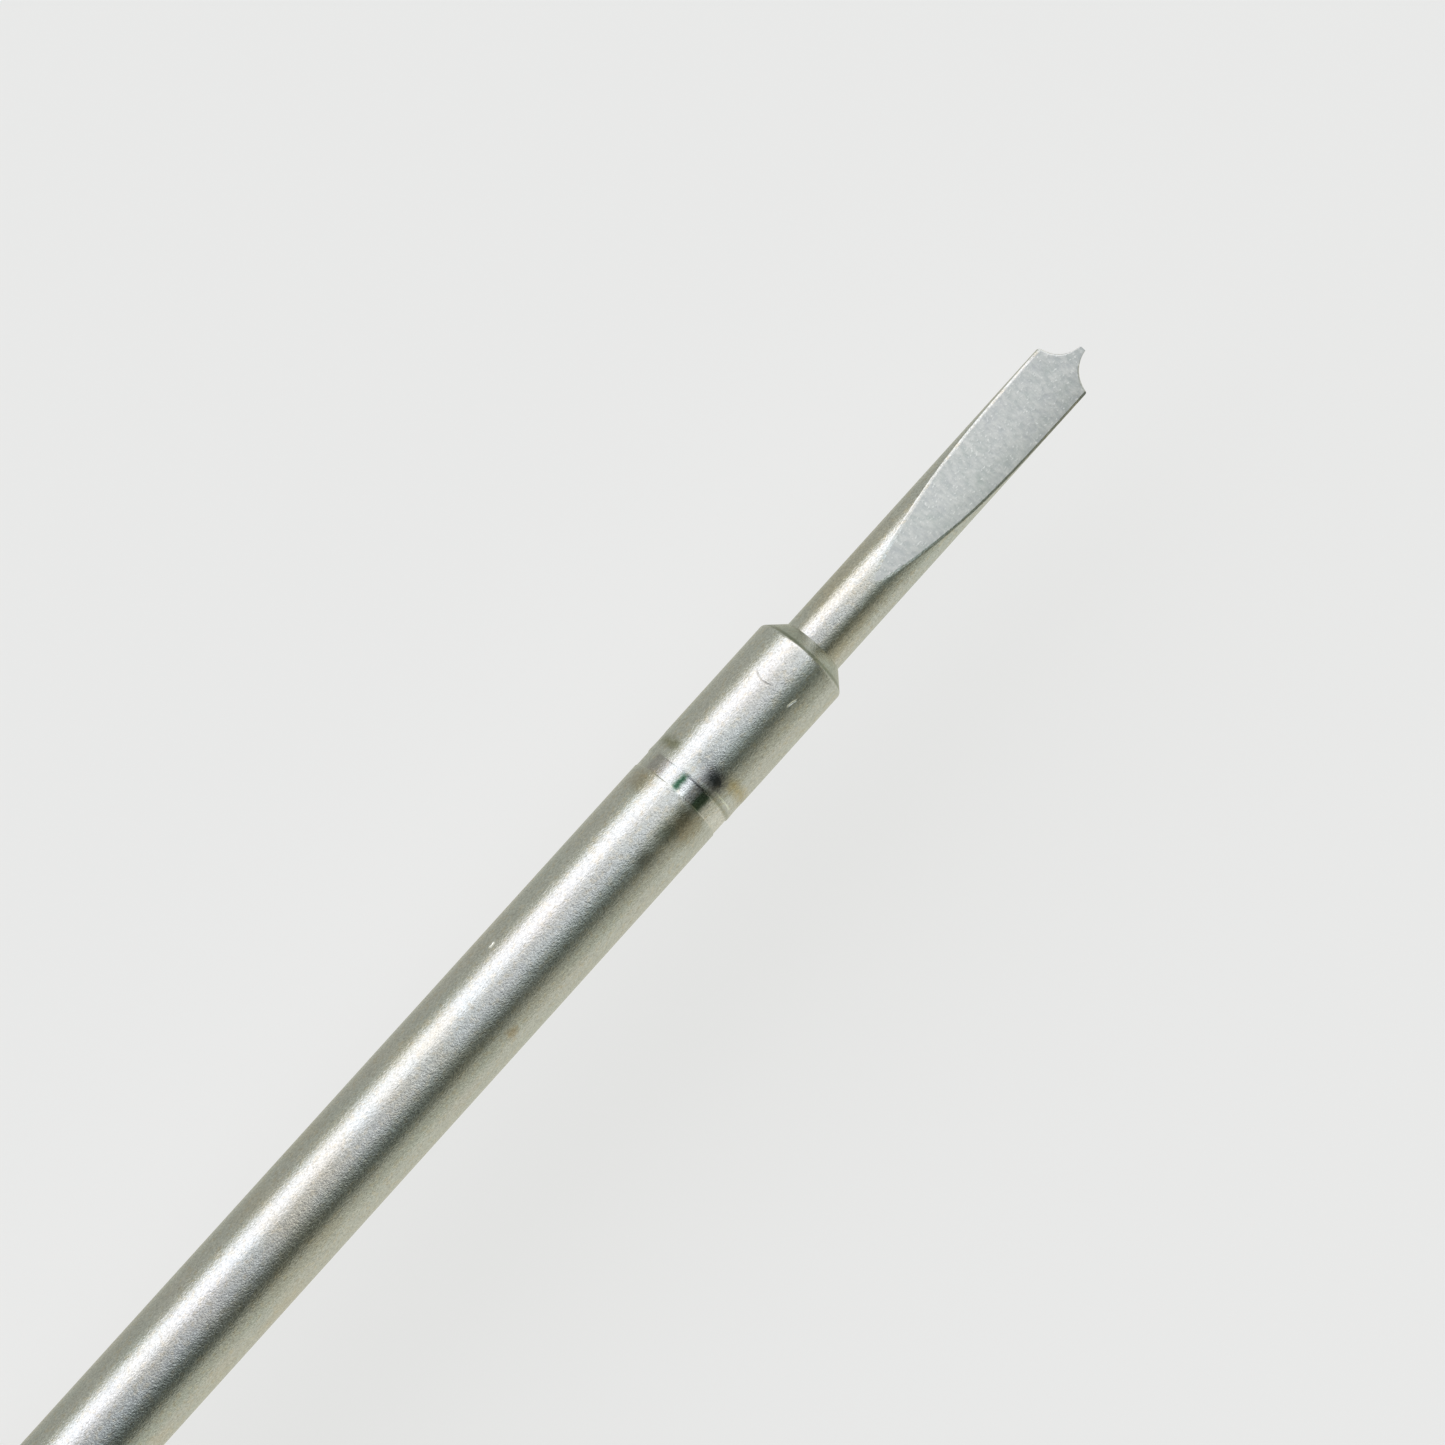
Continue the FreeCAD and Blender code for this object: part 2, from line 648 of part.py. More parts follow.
def make_bearing_cage():
    """The ring that spaces the balls, with a pocket for each."""
    cage = tube(
        BEARING_MID - CAGE_WIDTH / 2, BEARING_MID + CAGE_WIDTH / 2, CAGE_INNER_R, CAGE_OUTER_R,
        BEARING_EDGE)
    pocket = Part.makeCylinder(CAGE_POCKET_R, 2 * PITCH_R, Vector(BEARING_MID, 0, 0), AXIS_Z)
    return cage.cut(Part.makeCompound(around(pocket, BALLS)))


def make_bearing_retainer():
    """The open spring ring that keeps the bearing in the shell."""
    front = BEARING_REAR + 2 * CLEARANCE
    rear = front + RETAINER_THICKNESS
    ring = tube(
        front, rear, RETAINER_INNER_R, RETAINER_GROOVE_R - CLEARANCE, RETAINER_THICKNESS / 4)
    half_gap = math.radians(RETAINER_GAP_DEG / 2)
    reach = 2 * RETAINER_GROOVE_R
    wedge = outline(
        [
            (0, 0),
            (-reach * math.sin(half_gap), reach * math.cos(half_gap)),
            (reach * math.sin(half_gap), reach * math.cos(half_gap)),
        ],
        lambda y, z: Vector(front, y, z))
    return ring.cut(wedge.extrude(AXIS_X * RETAINER_THICKNESS))


def make_bearing_spacer():
    """The washer between the core's neck and the bearing's inner ring."""
    return tube(NECK_REAR, BEARING_FRONT, BEARING_BORE_R, SCREW_BOSS_R, BEARING_EDGE)


def make_pivot_screw():
    """The slotted screw that clamps the inner ring to the core. A boss under its head keeps the
    head clear of the parts that turn."""
    shaft_r = BEARING_BORE_R - CLEARANCE
    head_front = BEARING_REAR + SCREW_BOSS_LENGTH
    head_rear = head_front + SCREW_HEAD_LENGTH
    screw = turned([
        (SCREW_FRONT, 0),
        (SCREW_FRONT, shaft_r - SCREW_POINT_CHAMFER),
        (SCREW_FRONT + SCREW_POINT_CHAMFER, shaft_r),
        (BEARING_REAR, shaft_r),
        (BEARING_REAR, SCREW_BOSS_R),
        (head_front, SCREW_BOSS_R),
        (head_front, SCREW_HEAD_R),
        (head_rear - EDGE, SCREW_HEAD_R),
        (head_rear, SCREW_HEAD_R - EDGE),
        (head_rear, 0),
    ])
    slot = Part.makeBox(
        SCREW_SLOT_DEPTH, 2 * SCREW_HEAD_R, SCREW_SLOT_WIDTH,
        Vector(head_rear - SCREW_SLOT_DEPTH, -SCREW_HEAD_R, -SCREW_SLOT_WIDTH / 2))
    return screw.cut(slot)


# --- all the pieces -----------------------------------------------------------------------------

def all_pieces():
    """Every separate piece of the tool, by the name of its node."""
    rear_shield_front = BEARING_REAR - SHIELD_INSET - SHIELD_THICKNESS
    return {
        "blade": make_blade(),
        "shank": make_shank(),
        "chuck_collar": make_chuck_collar(),
        "set_screw_front": make_set_screw(SET_SCREW_X[0]),
        "set_screw_rear": make_set_screw(SET_SCREW_X[1]),
        "handle_core": make_handle_core(),
        "grip_sleeve": make_grip_sleeve(),
        "grip_rings": make_grip_rings(),
        "colour_ring": make_colour_ring(),
        "bearing_spacer": make_bearing_spacer(),
        "bearing_inner_ring": make_bearing_inner_ring(),
        "bearing_outer_ring": make_bearing_outer_ring(),
        "bearing_balls": make_bearing_balls(),
        "bearing_cage": make_bearing_cage(),
        "bearing_shield_front": make_bearing_shield(BEARING_FRONT + SHIELD_INSET),
        "bearing_shield_rear": make_bearing_shield(rear_shield_front),
        "bearing_retainer": make_bearing_retainer(),
        "pivot_screw": make_pivot_screw(),
        "head_shell": make_head_shell(),
        "finger_disc": make_finger_disc(),
        "disc_seal": make_disc_seal(),
    }


def main():
    os.makedirs("parts", exist_ok=True)
    for name, shape in all_pieces().items():
        if not shape.isValid():
            raise ValueError(f"{name} is not a valid shape")
        print(f"{name:22s} {len(shape.Solids)} solid(s) {shape.Volume:9.3f} mm3")
        shape.exportStep(f"parts/{name}.step")


main()
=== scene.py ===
"""Looks of the watchmaker's screwdriver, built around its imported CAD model.

The tool lies along +X with its pilot point at the origin and +Z up. Shapes are worked out in
millimetres and scaled to metres when a piece is made.
"""

import math

import bmesh
import bpy
from mathutils import Matrix, Vector


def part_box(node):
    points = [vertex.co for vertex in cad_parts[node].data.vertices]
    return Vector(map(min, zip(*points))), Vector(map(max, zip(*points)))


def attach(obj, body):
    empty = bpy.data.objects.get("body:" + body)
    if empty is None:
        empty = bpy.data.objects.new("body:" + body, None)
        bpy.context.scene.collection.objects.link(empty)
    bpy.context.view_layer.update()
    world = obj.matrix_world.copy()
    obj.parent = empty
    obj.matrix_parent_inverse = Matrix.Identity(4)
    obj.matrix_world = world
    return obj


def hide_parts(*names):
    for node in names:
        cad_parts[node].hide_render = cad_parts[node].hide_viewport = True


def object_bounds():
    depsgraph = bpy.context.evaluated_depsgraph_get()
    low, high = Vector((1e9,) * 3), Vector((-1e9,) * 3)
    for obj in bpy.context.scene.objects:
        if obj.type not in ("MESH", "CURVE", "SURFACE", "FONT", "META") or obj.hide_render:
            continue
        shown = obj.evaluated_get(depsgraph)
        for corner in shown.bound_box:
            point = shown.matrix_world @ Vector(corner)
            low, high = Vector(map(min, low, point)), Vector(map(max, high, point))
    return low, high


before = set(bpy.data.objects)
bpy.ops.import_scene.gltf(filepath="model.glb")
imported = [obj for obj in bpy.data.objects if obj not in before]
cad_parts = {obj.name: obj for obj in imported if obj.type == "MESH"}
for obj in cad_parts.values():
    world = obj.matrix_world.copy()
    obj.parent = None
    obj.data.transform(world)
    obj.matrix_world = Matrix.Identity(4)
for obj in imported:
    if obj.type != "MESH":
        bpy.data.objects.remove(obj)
cad_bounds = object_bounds()

MM = 0.001
ON_AXIS = 1e-6


def x_range(node):
    """Where a node starts and ends along the tool, in millimetres."""
    low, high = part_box(node)
    return low.x / MM, high.x / MM


def radius_of(node):
    """How far a node reaches from the tool's axis along Y, in millimetres."""
    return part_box(node)[1].y / MM


# --- driving dimensions, in millimetres ---

BLADE_REAR = x_range("blade")[1]
BLADE_R = radius_of("blade")
TIP_HALF_THICKNESS = 0.17
HOLLOW_RADIUS = 36.5
EASE_FRONT = 5.3
EASE_RADIUS = 26.0
SCALLOP_R = 0.83
SCALLOP_AHEAD = 0.10
SCALLOP_OFFSET = 0.90
PILOT_END_HALF_WIDTH = 0.08
PILOT_ROOT_HALF_WIDTH = 0.11
PILOT_CORNER_ROUND = 0.016
CREASE_ON_FLAT = 0.05
CREASE_ON_SIDE = 0.022
CREASE_ROWS = 3
FLAT_CROWN = {1: 0.085, -1: 0.015}
SCALLOP_EDGE_ROUND = 0.055
PILOT_EDGE_ROUND = 0.014
ROD_ROUND = 0.02
TIP_ZONE_END = 1.15

SHANK_FRONT, SHANK_REAR = x_range("shank")
SHANK_R = radius_of("shank")
SHANK_CHAMFER = 0.42
TANG_R = 1.0
BLADE_BORE_R = 0.81
BLADE_BORE_END = 22.0
CRIMP = (14.33, 14.81)
CRIMP_DEPTH = 0.02
CRIMP_WALL = 0.03
CRIMP_BITE = 0.05
SECOND_CRIMP = (13.70, 14.25)
SECOND_CRIMP_DEPTH = 0.008
CLAMP_FLAT_FRONT = 48.6
CLAMP_FLAT_Z = 0.72

COLLAR_FRONT, COLLAR_REAR = x_range("chuck_collar")
HEX_HALF_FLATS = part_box("chuck_collar")[1].z / MM
HEX_CORNER_R = 4.95
HEX_FACE_R = 4.25
HEX_SHOULDER_R = 3.95
HEX_FRONT = 49.0
HEX_REAR = 57.5
NOSE_R = 2.1
NOSE_REAR = 45.8
COVE_SAG = 0.28
BOSS_R = 3.0
BOSS_GROOVE = (59.3, 60.0)
BOSS_GROOVE_DEPTH = 0.2
TANG_BORE_R = 1.02
CORE_SOCKET_FRONT = 56.0
SET_SCREW_HOLE_R = 0.80
SET_SCREW_COUNTERSINK = 0.3
SET_SCREW_CHAMFER = 0.15
SOCKET_HALF_FLATS = 0.35
SOCKET_DEPTH = 0.9
SOCKET_DRILL_POINT = 0.15
SOFT_EDGE = 0.04

CORE_FRONT, CORE_REAR = x_range("handle_core")
CORE_R = 1.99
CORE_FLANGE_FRONT = 89.5
FLANGE_R = radius_of("handle_core")
FLANGE_RIM = 0.8
FLANGE_REAR = 94.0
TAIL_R = 2.6
TAIL_COVE_SAG = 0.25
NECK_R = 1.6
PIVOT_HOLE_R = 1.0
PIVOT_HOLE_END = 87.5

SLEEVE_FRONT, SLEEVE_REAR = x_range("grip_sleeve")
SLEEVE_R = 3.2
SLEEVE_END_R = 3.0
SLEEVE_END_LENGTH = 1.3
SLEEVE_BORE_R = 2.01
SLEEVE_BEVEL = 0.25
SLEEVE_FLUTES = 36
SLEEVE_FLUTE_R = 0.26
SLEEVE_FLUTE_DEPTH = 0.17
GRIP_RING_X = (68.4, 78.6)
GRIP_CORD_R = 0.55
GRIP_GROOVE_R = 2.25
GRIP_GROOVE_HALF_WIDTH = 0.62
COLOUR_RING_FRONT, COLOUR_RING_REAR = x_range("colour_ring")
COLOUR_RING_R = radius_of("colour_ring")
COLOUR_RING_END_R = 3.2

HEAD_FRONT, HEAD_REAR = x_range("head_shell")
HEAD_R = radius_of("head_shell")
HEAD_MOUTH_R = 2.75
HEAD_SHOULDER = (95.4, 97.0)
HEAD_SHOULDER_R = 3.87
HEAD_WALL = 0.8
HEAD_NECK_HOLE_R = 1.95
HEAD_RIM_ROUND = 0.35
HEAD_STEP_R = 4.25
HEAD_STEP_WIDTH = 0.3
KNURL = (98.6, 102.9)
KNURL_R = 4.45
HEAD_FLUTES = 44
HEAD_FLUTE_R = 0.22
HEAD_FLUTE_DEPTH = 0.13
BEARING_SEAT_R = 2.51
CAVITY_R = 2.9
CAVITY_FRONT = 98.26
RETAINER_GROOVE = (97.71, 98.01)
RETAINER_GROOVE_R = 2.80
DISC_FRONT, DISC_REAR = x_range("finger_disc")
DISC_R = radius_of("finger_disc")
DISC_SEAT_R = 3.6
DISH_RADIUS = 8.5
DISH_MOUTH_R = 3.1
SEAL_X = 101.6
SEAL_GROOVE_R = 2.9

ROUND_SEGMENTS = 192
SHANK_SEGMENTS = 288
SCREW_SEGMENTS = 72
CORD_SEGMENTS = 48
PARTING_LINE = 0.012
EDGE = 0.12
SHARP_ANGLE = math.radians(38)
VIEW_ANGLE = math.radians(-3.5)


# --- outlines ---

def rounded(points, radius, loop=True, steps=4):
    """The outline of (x, r) points with its corners rounded, each by the third value of its point
    or by radius. An outline that isn't a loop keeps its two ends."""
    smooth = []
    for i, point in enumerate(points):
        here = Vector(point[:2])
        if not loop and i in (0, len(points) - 1):
            smooth.append(tuple(here))
            continue
        before = Vector(points[i - 1][:2]) - here
        after = Vector(points[(i + 1) % len(points)][:2]) - here
        wanted = point[2] if len(point) == 3 else radius
        turn = math.pi - before.angle(after)
        if wanted == 0 or turn < math.radians(6):
            smooth.append(tuple(here))
            continue
        reach = min(wanted * math.tan(turn / 2), 0.45 * before.length, 0.45 * after.length)
        start = here + before.normalized() * reach
        end = here + after.normalized() * reach
        for k in range(steps + 1):
            s = k / steps
            smooth.append(tuple((1 - s) ** 2 * start + 2 * s * (1 - s) * here + s * s * end))
    return smooth


def arc(start, middle, end, steps=20):
    """Points on the arc through three (x, r) points, without its two ends."""
    a, b, c = Vector(start), Vector(middle), Vector(end)
    ab, ac = b - a, c - a
    turn = 2 * (ab.x * ac.y - ab.y * ac.x)
    centre = a + Vector((
        ac.y * ab.length_squared - ab.y * ac.length_squared,
        ab.x * ac.length_squared - ac.x * ab.length_squared)) / turn
    first = math.atan2(*reversed(a - centre))
    sweep = math.atan2(*reversed(c - centre)) - first
    sweep = (sweep + math.pi) % (2 * math.pi) - math.pi
    radius = (a - centre).length
    points = []
    for k in range(1, steps):
        angle = first + sweep * k / steps
        points.append((centre.x + radius * math.cos(angle), centre.y + radius * math.sin(angle), 0))
    return points


def groove(ends, radius, depth, steps=8):
    """Points across a shallow round-bottomed groove in a cylinder, its two edges included."""
    points = []
    for k in range(steps + 1):
        s = k / steps
        points.append((ends[0] + s * (ends[1] - ends[0]), radius - 4 * depth * s * (1 - s), 0))
    return points


def along(start, end, count):
    """Points on a straight run between two (x, r) points, without its ends."""
    (x, r), run, rise = start, end[0] - start[0], end[1] - start[1]
    return [(x + k / count * run, r + k / count * rise, 0) for k in range(1, count)]


def notch(ends, edge_r, floor_r, wall=0.0, radius=0.0):
    """The four (x, r) corners of a turned groove, whose sides are as wide as wall."""
    front, rear = ends
    return [
        (front, edge_r, radius), (front + wall, floor_r, radius),
        (rear - wall, floor_r, radius), (rear, edge_r, radius)]


# --- meshes ---

def even_angles(count):
    return [2 * math.pi * i / count for i in range(count)]


def join_rings(mesh, first, second):
    """Faces between two rings of vertices, either of which may be a single point."""
    count = max(len(first), len(second))
    if count == 1:
        return
    for i in range(count):
        j = (i + 1) % count
        corners = [ring[k % len(ring)] for ring, k in ((first, i), (first, j), (second, j), (second, i))]
        mesh.faces.new(list(dict.fromkeys(corners)))


def turn(mesh, outline, angles):
    """Adds a closed solid turned about X. outline(angle) gives its (x, r) points there, from axis
    to axis or as a loop, and as many of them at every angle."""
    columns = [outline(angle) for angle in angles]
    rings = []
    for points in zip(*columns):
        if points[0][1] < ON_AXIS:
            rings.append([mesh.verts.new((points[0][0], 0, 0))])
            continue
        ring = []
        for (x, r, *_), angle in zip(points, angles):
            ring.append(mesh.verts.new((x, r * math.sin(angle), r * math.cos(angle))))
        rings.append(ring)
    for first, second in zip(rings, rings[1:]):
        join_rings(mesh, first, second)
    if len(rings[0]) > 1:
        join_rings(mesh, rings[-1], rings[0])


def soft_min(first, second, softness):
    """The smaller of two lengths, rounded off where they meet."""
    near = max(softness - abs(first - second), 0) / softness
    return min(first, second) - near * near * softness / 4


def add_object(name, data):
    """Puts a mesh or a camera into the scene."""
    made = bpy.data.objects.new(name, data)
    bpy.context.scene.collection.objects.link(made)
    return made


def mesh_object(name, mesh):
    """Puts a finished mesh into the scene."""
    data = bpy.data.meshes.new(name)
    mesh.to_mesh(data)
    mesh.free()
    return add_object(name, data)


def cut(mesh, cutter):
    """What is left of a mesh when the cutter is taken away."""
    made = []
    for part in (mesh, cutter):
        bmesh.ops.recalc_face_normals(part, faces=part.faces)
        made.append(mesh_object("cutting", part))
    subtract = made[0].modifiers.new("cut", "BOOLEAN")
    subtract.object = made[1]
    subtract.operation = "DIFFERENCE"
    subtract.solver = "EXACT"
    evaluated = made[0].evaluated_get(bpy.context.evaluated_depsgraph_get())
    result = bmesh.new()
    result.from_mesh(evaluated.to_mesh())
    evaluated.to_mesh_clear()
    for temporary in made:
        bpy.data.objects.remove(temporary)
    return result


def piece(name, mesh, body, node, materials):
    """Makes a piece of a mesh in millimetres, which rides on the body for the CAD node."""
    bmesh.ops.recalc_face_normals(mesh, faces=mesh.faces)
    bmesh.ops.scale(mesh, vec=(MM, MM, MM), verts=mesh.verts)
    made = mesh_object(name, mesh)
    made.data.shade_smooth()
    made.data.set_sharp_from_angle(angle=SHARP_ANGLE)
    for material in materials:
        made.data.materials.append(material)
    made.modifiers.new("normals", "WEIGHTED_NORMAL").keep_sharp = True
    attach(made, body)
    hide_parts(node)
    return made


def turned_piece(name, outline, body, node, material, angles=None):
    """A piece turned about the tool's axis. Its outline is a list, or a function of the angle."""
    mesh = bmesh.new()
    at_angle = outline if callable(outline) else lambda angle: outline
    turn(mesh, at_angle, angles or even_angles(ROUND_SEGMENTS))
    return piece(name, mesh, body, node, [material])


# --- node materials ---

def add_node(tree, kind, inputs=None, **settings):
    """A shader node with its settings, and its inputs set to values or linked to sockets."""
    made = tree.nodes.new("ShaderNode" + kind)
    for name, value in settings.items():
        setattr(made, name, value)
    for name, value in (inputs or {}).items():
        if isinstance(value, bpy.types.NodeSocket):
            tree.links.new(value, made.inputs[name])
        else:
            made.inputs[name].default_value = value
    return made


def math_node(tree, operation, *values):
    """The output of a math node on sockets or numbers."""
    return add_node(tree, "Math", dict(enumerate(values)), operation=operation).outputs[0]


def position(tree):
    """The place on the piece, in millimetres."""
    place = add_node(tree, "TexCoord").outputs["Object"]
    return add_node(tree, "VectorMath", {0: place, 3: 1 / MM}, operation="SCALE").outputs[0]


def coordinates(tree):
    """The place on the piece as x, y and z, in millimetres."""
    return add_node(tree, "SeparateXYZ", {0: position(tree)}).outputs


def noise(tree, size, stretch=(1, 1, 1), detail=2.0, seed=0.0, distortion=0.0):
    """Noise with patches about size millimetres across, longer along an axis by its stretch."""
    scale = [1 / (size * s) for s in stretch]
    place = add_node(tree, "Mapping", {"Vector": position(tree), "Scale": scale})
    settings = {
        "Vector": place.outputs[0], "W": seed, "Detail": detail, "Scale": 1.0, "Distortion": distortion}
    return add_node(tree, "TexNoise", settings, noise_dimensions="4D").outputs["Fac"]


def between(tree, value, low=0.0, high=1.0, start=0.3, end=0.7):
    """The value's range from start to end, mapped to low to high."""
    return add_node(tree, "MapRange", {
        "Value": value, "From Min": start, "From Max": end, "To Min": low, "To Max": high,
    }).outputs[0]


def blend(tree, amount, first, second, how="MIX"):
    """A colour between two colours, or the first one tinted by the second one."""
    inputs = {0: amount}
    for index, colour in ((6, first), (7, second)):
        inputs[index] = colour if isinstance(colour, bpy.types.NodeSocket) else (*colour, 1)
    return add_node(tree, "Mix", inputs, data_type="RGBA", blend_type=how).outputs[2]


def new_material(name, metallic=1.0):
    """A material, a metal by default, with its node tree and its Principled shader."""
    material = bpy.data.materials.new(name)
    material.use_nodes = True
    tree = material.node_tree
    shader = next(n for n in tree.nodes if n.type == "BSDF_PRINCIPLED")
    shader.inputs["Metallic"].default_value = metallic
    return material, tree, shader


def surface(tree, shader, colour, roughness, bumps):
    """Links a colour, a roughness and a list of (height socket, micrometres) to the shader."""
    tree.links.new(colour, shader.inputs["Base Color"])
    tree.links.new(roughness, shader.inputs["Roughness"])
    normal = None
    for height, micrometres in bumps:
        bump = add_node(tree, "Bump", {"Height": height, "Strength": 1.0, "Distance": micrometres * 1e-6})
        if normal:
            tree.links.new(normal, bump.inputs["Normal"])
        normal = bump.outputs[0]
    tree.links.new(normal, shader.inputs["Normal"])


def top_ring(tree, centre, radius, half_width, reach):
    """1 on an arc scratched into the upper side: a ring about a point (x, y), kept where it is
    within reach of the point (x, y) given last."""
    x, y, z = coordinates(tree)
    flat = add_node(tree, "CombineXYZ", {0: x, 1: y}).outputs[0]

    def distance(to_x, to_y):
        ends = {0: flat, 1: (to_x, to_y, 0)}
        return add_node(tree, "VectorMath", ends, operation="DISTANCE").outputs["Value"]

    from_ring = math_node(tree, "SUBTRACT", distance(*centre), radius)
    off_ring = math_node(tree, "ABSOLUTE", from_ring)
    on_ring = between(tree, off_ring, 1.0, 0.0, half_width / 3, half_width)
    keep_x, keep_y, keep_r = reach
    near = between(tree, distance(keep_x, keep_y), 1.0, 0.0, 0.6 * keep_r, keep_r)
    upper = math_node(tree, "GREATER_THAN", z, 0.0)
    return math_node(tree, "MULTIPLY", math_node(tree, "MULTIPLY", on_ring, near), upper)


NICKEL = (0.57, 0.565, 0.55)
NICKEL_WARM = (0.57, 0.51, 0.40)
NICKEL_COOL = (0.53, 0.56, 0.555)
NICKEL_MARK = (0.26, 0.25, 0.22)

# Marks by the rolled grooves on the upper side: stains, and painted reflections, highlights and shade
# where the grooves break up the light. Each runs between two places along the tool and two across it,
# tints the metal, and ends with how soft its edges are.
STAINS_AND_PAINTED_LIGHT = [
    ((14.32, 14.78), (-1.02, -0.64), (0.76, 0.73, 0.75), 0.04),
    ((14.33, 14.80), (-0.28, -0.11), (0.34, 0.52, 0.42), 0.06),
    ((14.40, 14.76), (-0.24, -0.14), (0.30, 0.46, 0.36), 0.04),
    ((14.33, 14.82), (-0.08, 0.07), (1.55, 1.53, 1.58), 0.03),
    ((14.33, 14.83), (0.13, 0.38), (0.60, 0.57, 0.58), 0.04),
    ((14.33, 14.83), (0.34, 0.61), (0.18, 0.25, 0.18), 0.06),
    ((14.36, 14.80), (0.61, 1.25), (1.24, 1.21, 1.22), 0.03),
    ((14.26, 14.36), (0.25, 1.25), (0.76, 0.76, 0.70), 0.03),
    ((14.15, 14.19), (0.58, 1.12), (1.30, 1.32, 1.25), 0.015),
    ((13.78, 14.29), (0.08, 0.62), (0.62, 0.58, 0.62), 0.12),
    ((13.82, 14.12), (0.20, 0.62), (0.27, 0.30, 0.31), 0.11),
    ((13.60, 13.90), (0.62, 1.24), (0.84, 0.75, 0.56), 0.12),
    ((13.82, 14.06), (-1.22, -0.76), (0.62, 0.62, 0.50), 0.10),
    ((14.90, 15.60), (0.30, 0.95), (0.80, 0.73, 0.62), 0.20),
    ((14.85, 15.40), (-1.10, -0.66), (0.80, 0.73, 0.62), 0.16),
    ((14.90, 15.26), (0.16, 0.56), (0.62, 0.62, 0.58), 0.12),
    ((15.40, 15.90), (0.16, 0.58), (0.62, 0.66, 0.64), 0.14),
    ((16.30, 16.70), (0.22, 0.56), (0.66, 0.64, 0.60), 0.12),
    ((21.45, 21.77), (0.76, 0.92), (0.84, 0.72, 0.58), 0.08),
]
MARK_WANDER = 2.5
CHAMFER_TINT = (0.74, 0.77, 0.72)
CHAMFER_RIM_TINT = (0.60, 0.62, 0.56)


def within(tree, value, low, high, fade):
    """1 where the value lies between two others, fading out beyond them."""
    away = math_node(tree, "ABSOLUTE", math_node(tree, "SUBTRACT", value, (low + high) / 2))
    half = (high - low) / 2
    return between(tree, away, 1.0, 0.0, half - fade, half + fade)


def with_stains_and_painted_light(tree, colour):
    """The colour with the listed stains and the painted reflections, highlights and shade by the rolled
    grooves, on the upper side only. Their edges wander a little.
    """
    x, y, z = coordinates(tree)
    tilt_y = math_node(tree, "MULTIPLY", y, math.cos(VIEW_ANGLE))
    tilt_z = math_node(tree, "MULTIPLY", z, -math.sin(VIEW_ANGLE))
    across = math_node(tree, "ADD", tilt_y, tilt_z)
    upper = between(tree, z, 0.0, 1.0, -0.35, 0.0)
    ragged = math_node(tree, "SUBTRACT", noise(tree, 0.14, detail=5.0, seed=41.0), 0.5)
    # Each row tints the metal with a stain, or with a painted reflection, highlight or shade.
    for (front, rear), (left, right), tint, softness in STAINS_AND_PAINTED_LIGHT:
        wander = math_node(tree, "MULTIPLY", ragged, MARK_WANDER * softness)
        along_tool = math_node(tree, "ADD", x, wander)
        sideways = math_node(tree, "SUBTRACT", across, wander)
        mask = math_node(
            tree, "MULTIPLY", within(tree, along_tool, front, rear, softness),
            within(tree, sideways, left, right, softness))
        colour = blend(tree, math_node(tree, "MULTIPLY", mask, upper), colour, tint, "MULTIPLY")
    return colour


def satin_nickel(name, marks_and_painted_light):
    """Satin nickel plate with a fine grain. The shank's has stains and a few scratches, and where its
    front end was rolled down it carries painted reflections, highlights and shade; two of the scratches
    are painted near white as glints."""
    material, tree, shader = new_material(name)
    patches = noise(tree, 0.9, (3.0, 1, 1), seed=1.0)
    stains = noise(tree, 1.7, (2.2, 1, 1), detail=4.0, seed=7.0)
    flecks = noise(tree, 0.10, (1.6, 1, 1), detail=3.0, seed=8.0)
    grain = noise(tree, 0.032, (1.5, 1, 1), seed=3.0, distortion=0.6)
    pits = noise(tree, 0.08, (1.4, 1, 1), detail=3.0, seed=4.0, distortion=1.2)
    waves = noise(tree, 0.45, (5.0, 1, 1), detail=1.0, seed=5.0)
    speckle = noise(tree, 0.055, (1.3, 1, 1), detail=3.0, seed=6.0, distortion=0.8)
    colour = blend(tree, between(tree, patches), NICKEL, NICKEL_COOL)
    colour = blend(tree, between(tree, stains, 0, 0.8, 0.52, 0.72), colour, NICKEL_WARM)
    colour = blend(tree, between(tree, flecks, 0, 0.45, 0.52, 0.66), colour, NICKEL_WARM)
    colour = blend(tree, between(tree, grain, 0.45, 0.0, 0.30, 0.46), colour, NICKEL_MARK)
    colour = blend(tree, 1.0, colour, between(tree, speckle, 0.83, 1.17), "MULTIPLY")
    roughness = between(tree, pits, 0.14, 0.24)
    bumps = [(waves, 3.5), (pits, 5.5), (grain, 5.5)]
    if marks_and_painted_light:
        crescent = top_ring(tree, (10.98, -0.38), 0.46, 0.034, (11.41, -0.47, 0.30))
        nick_and_painted_glint = top_ring(tree, (11.47, 0.96), 0.52, 0.030, (11.36, 0.44, 0.18))
        small_nick_and_painted_glint = top_ring(tree, (20.40, -1.30), 0.36, 0.035, (20.40, -0.93, 0.12))
        colour = blend(tree, math_node(tree, "MULTIPLY", crescent, 0.60), colour, NICKEL_MARK)
        # The two nicks are real scratches; their near-white colour is a painted glint.
        colour = blend(tree, nick_and_painted_glint, colour, (0.95, 0.95, 0.95))
        colour = blend(tree, small_nick_and_painted_glint, colour, (1.0, 1.0, 1.0))
        # Stains, and painted reflections, highlights and shade, by the rolled grooves.
        colour = with_stains_and_painted_light(tree, colour)
        x = coordinates(tree)[0]
        rim = SHANK_FRONT + SHANK_CHAMFER
        on_chamfer = within(tree, x, SHANK_FRONT - 1, rim - 0.03, 0.02)
        by_rim = within(tree, x, rim - 0.11, rim - 0.02, 0.02)
        colour = blend(tree, on_chamfer, colour, CHAMFER_TINT, "MULTIPLY")
        colour = blend(tree, by_rim, colour, CHAMFER_RIM_TINT, "MULTIPLY")
        bumps += [(crescent, -6.0), (nick_and_painted_glint, -6.0), (small_nick_and_painted_glint, -8.0)]
    surface(tree, shader, colour, roughness, bumps)
    return material


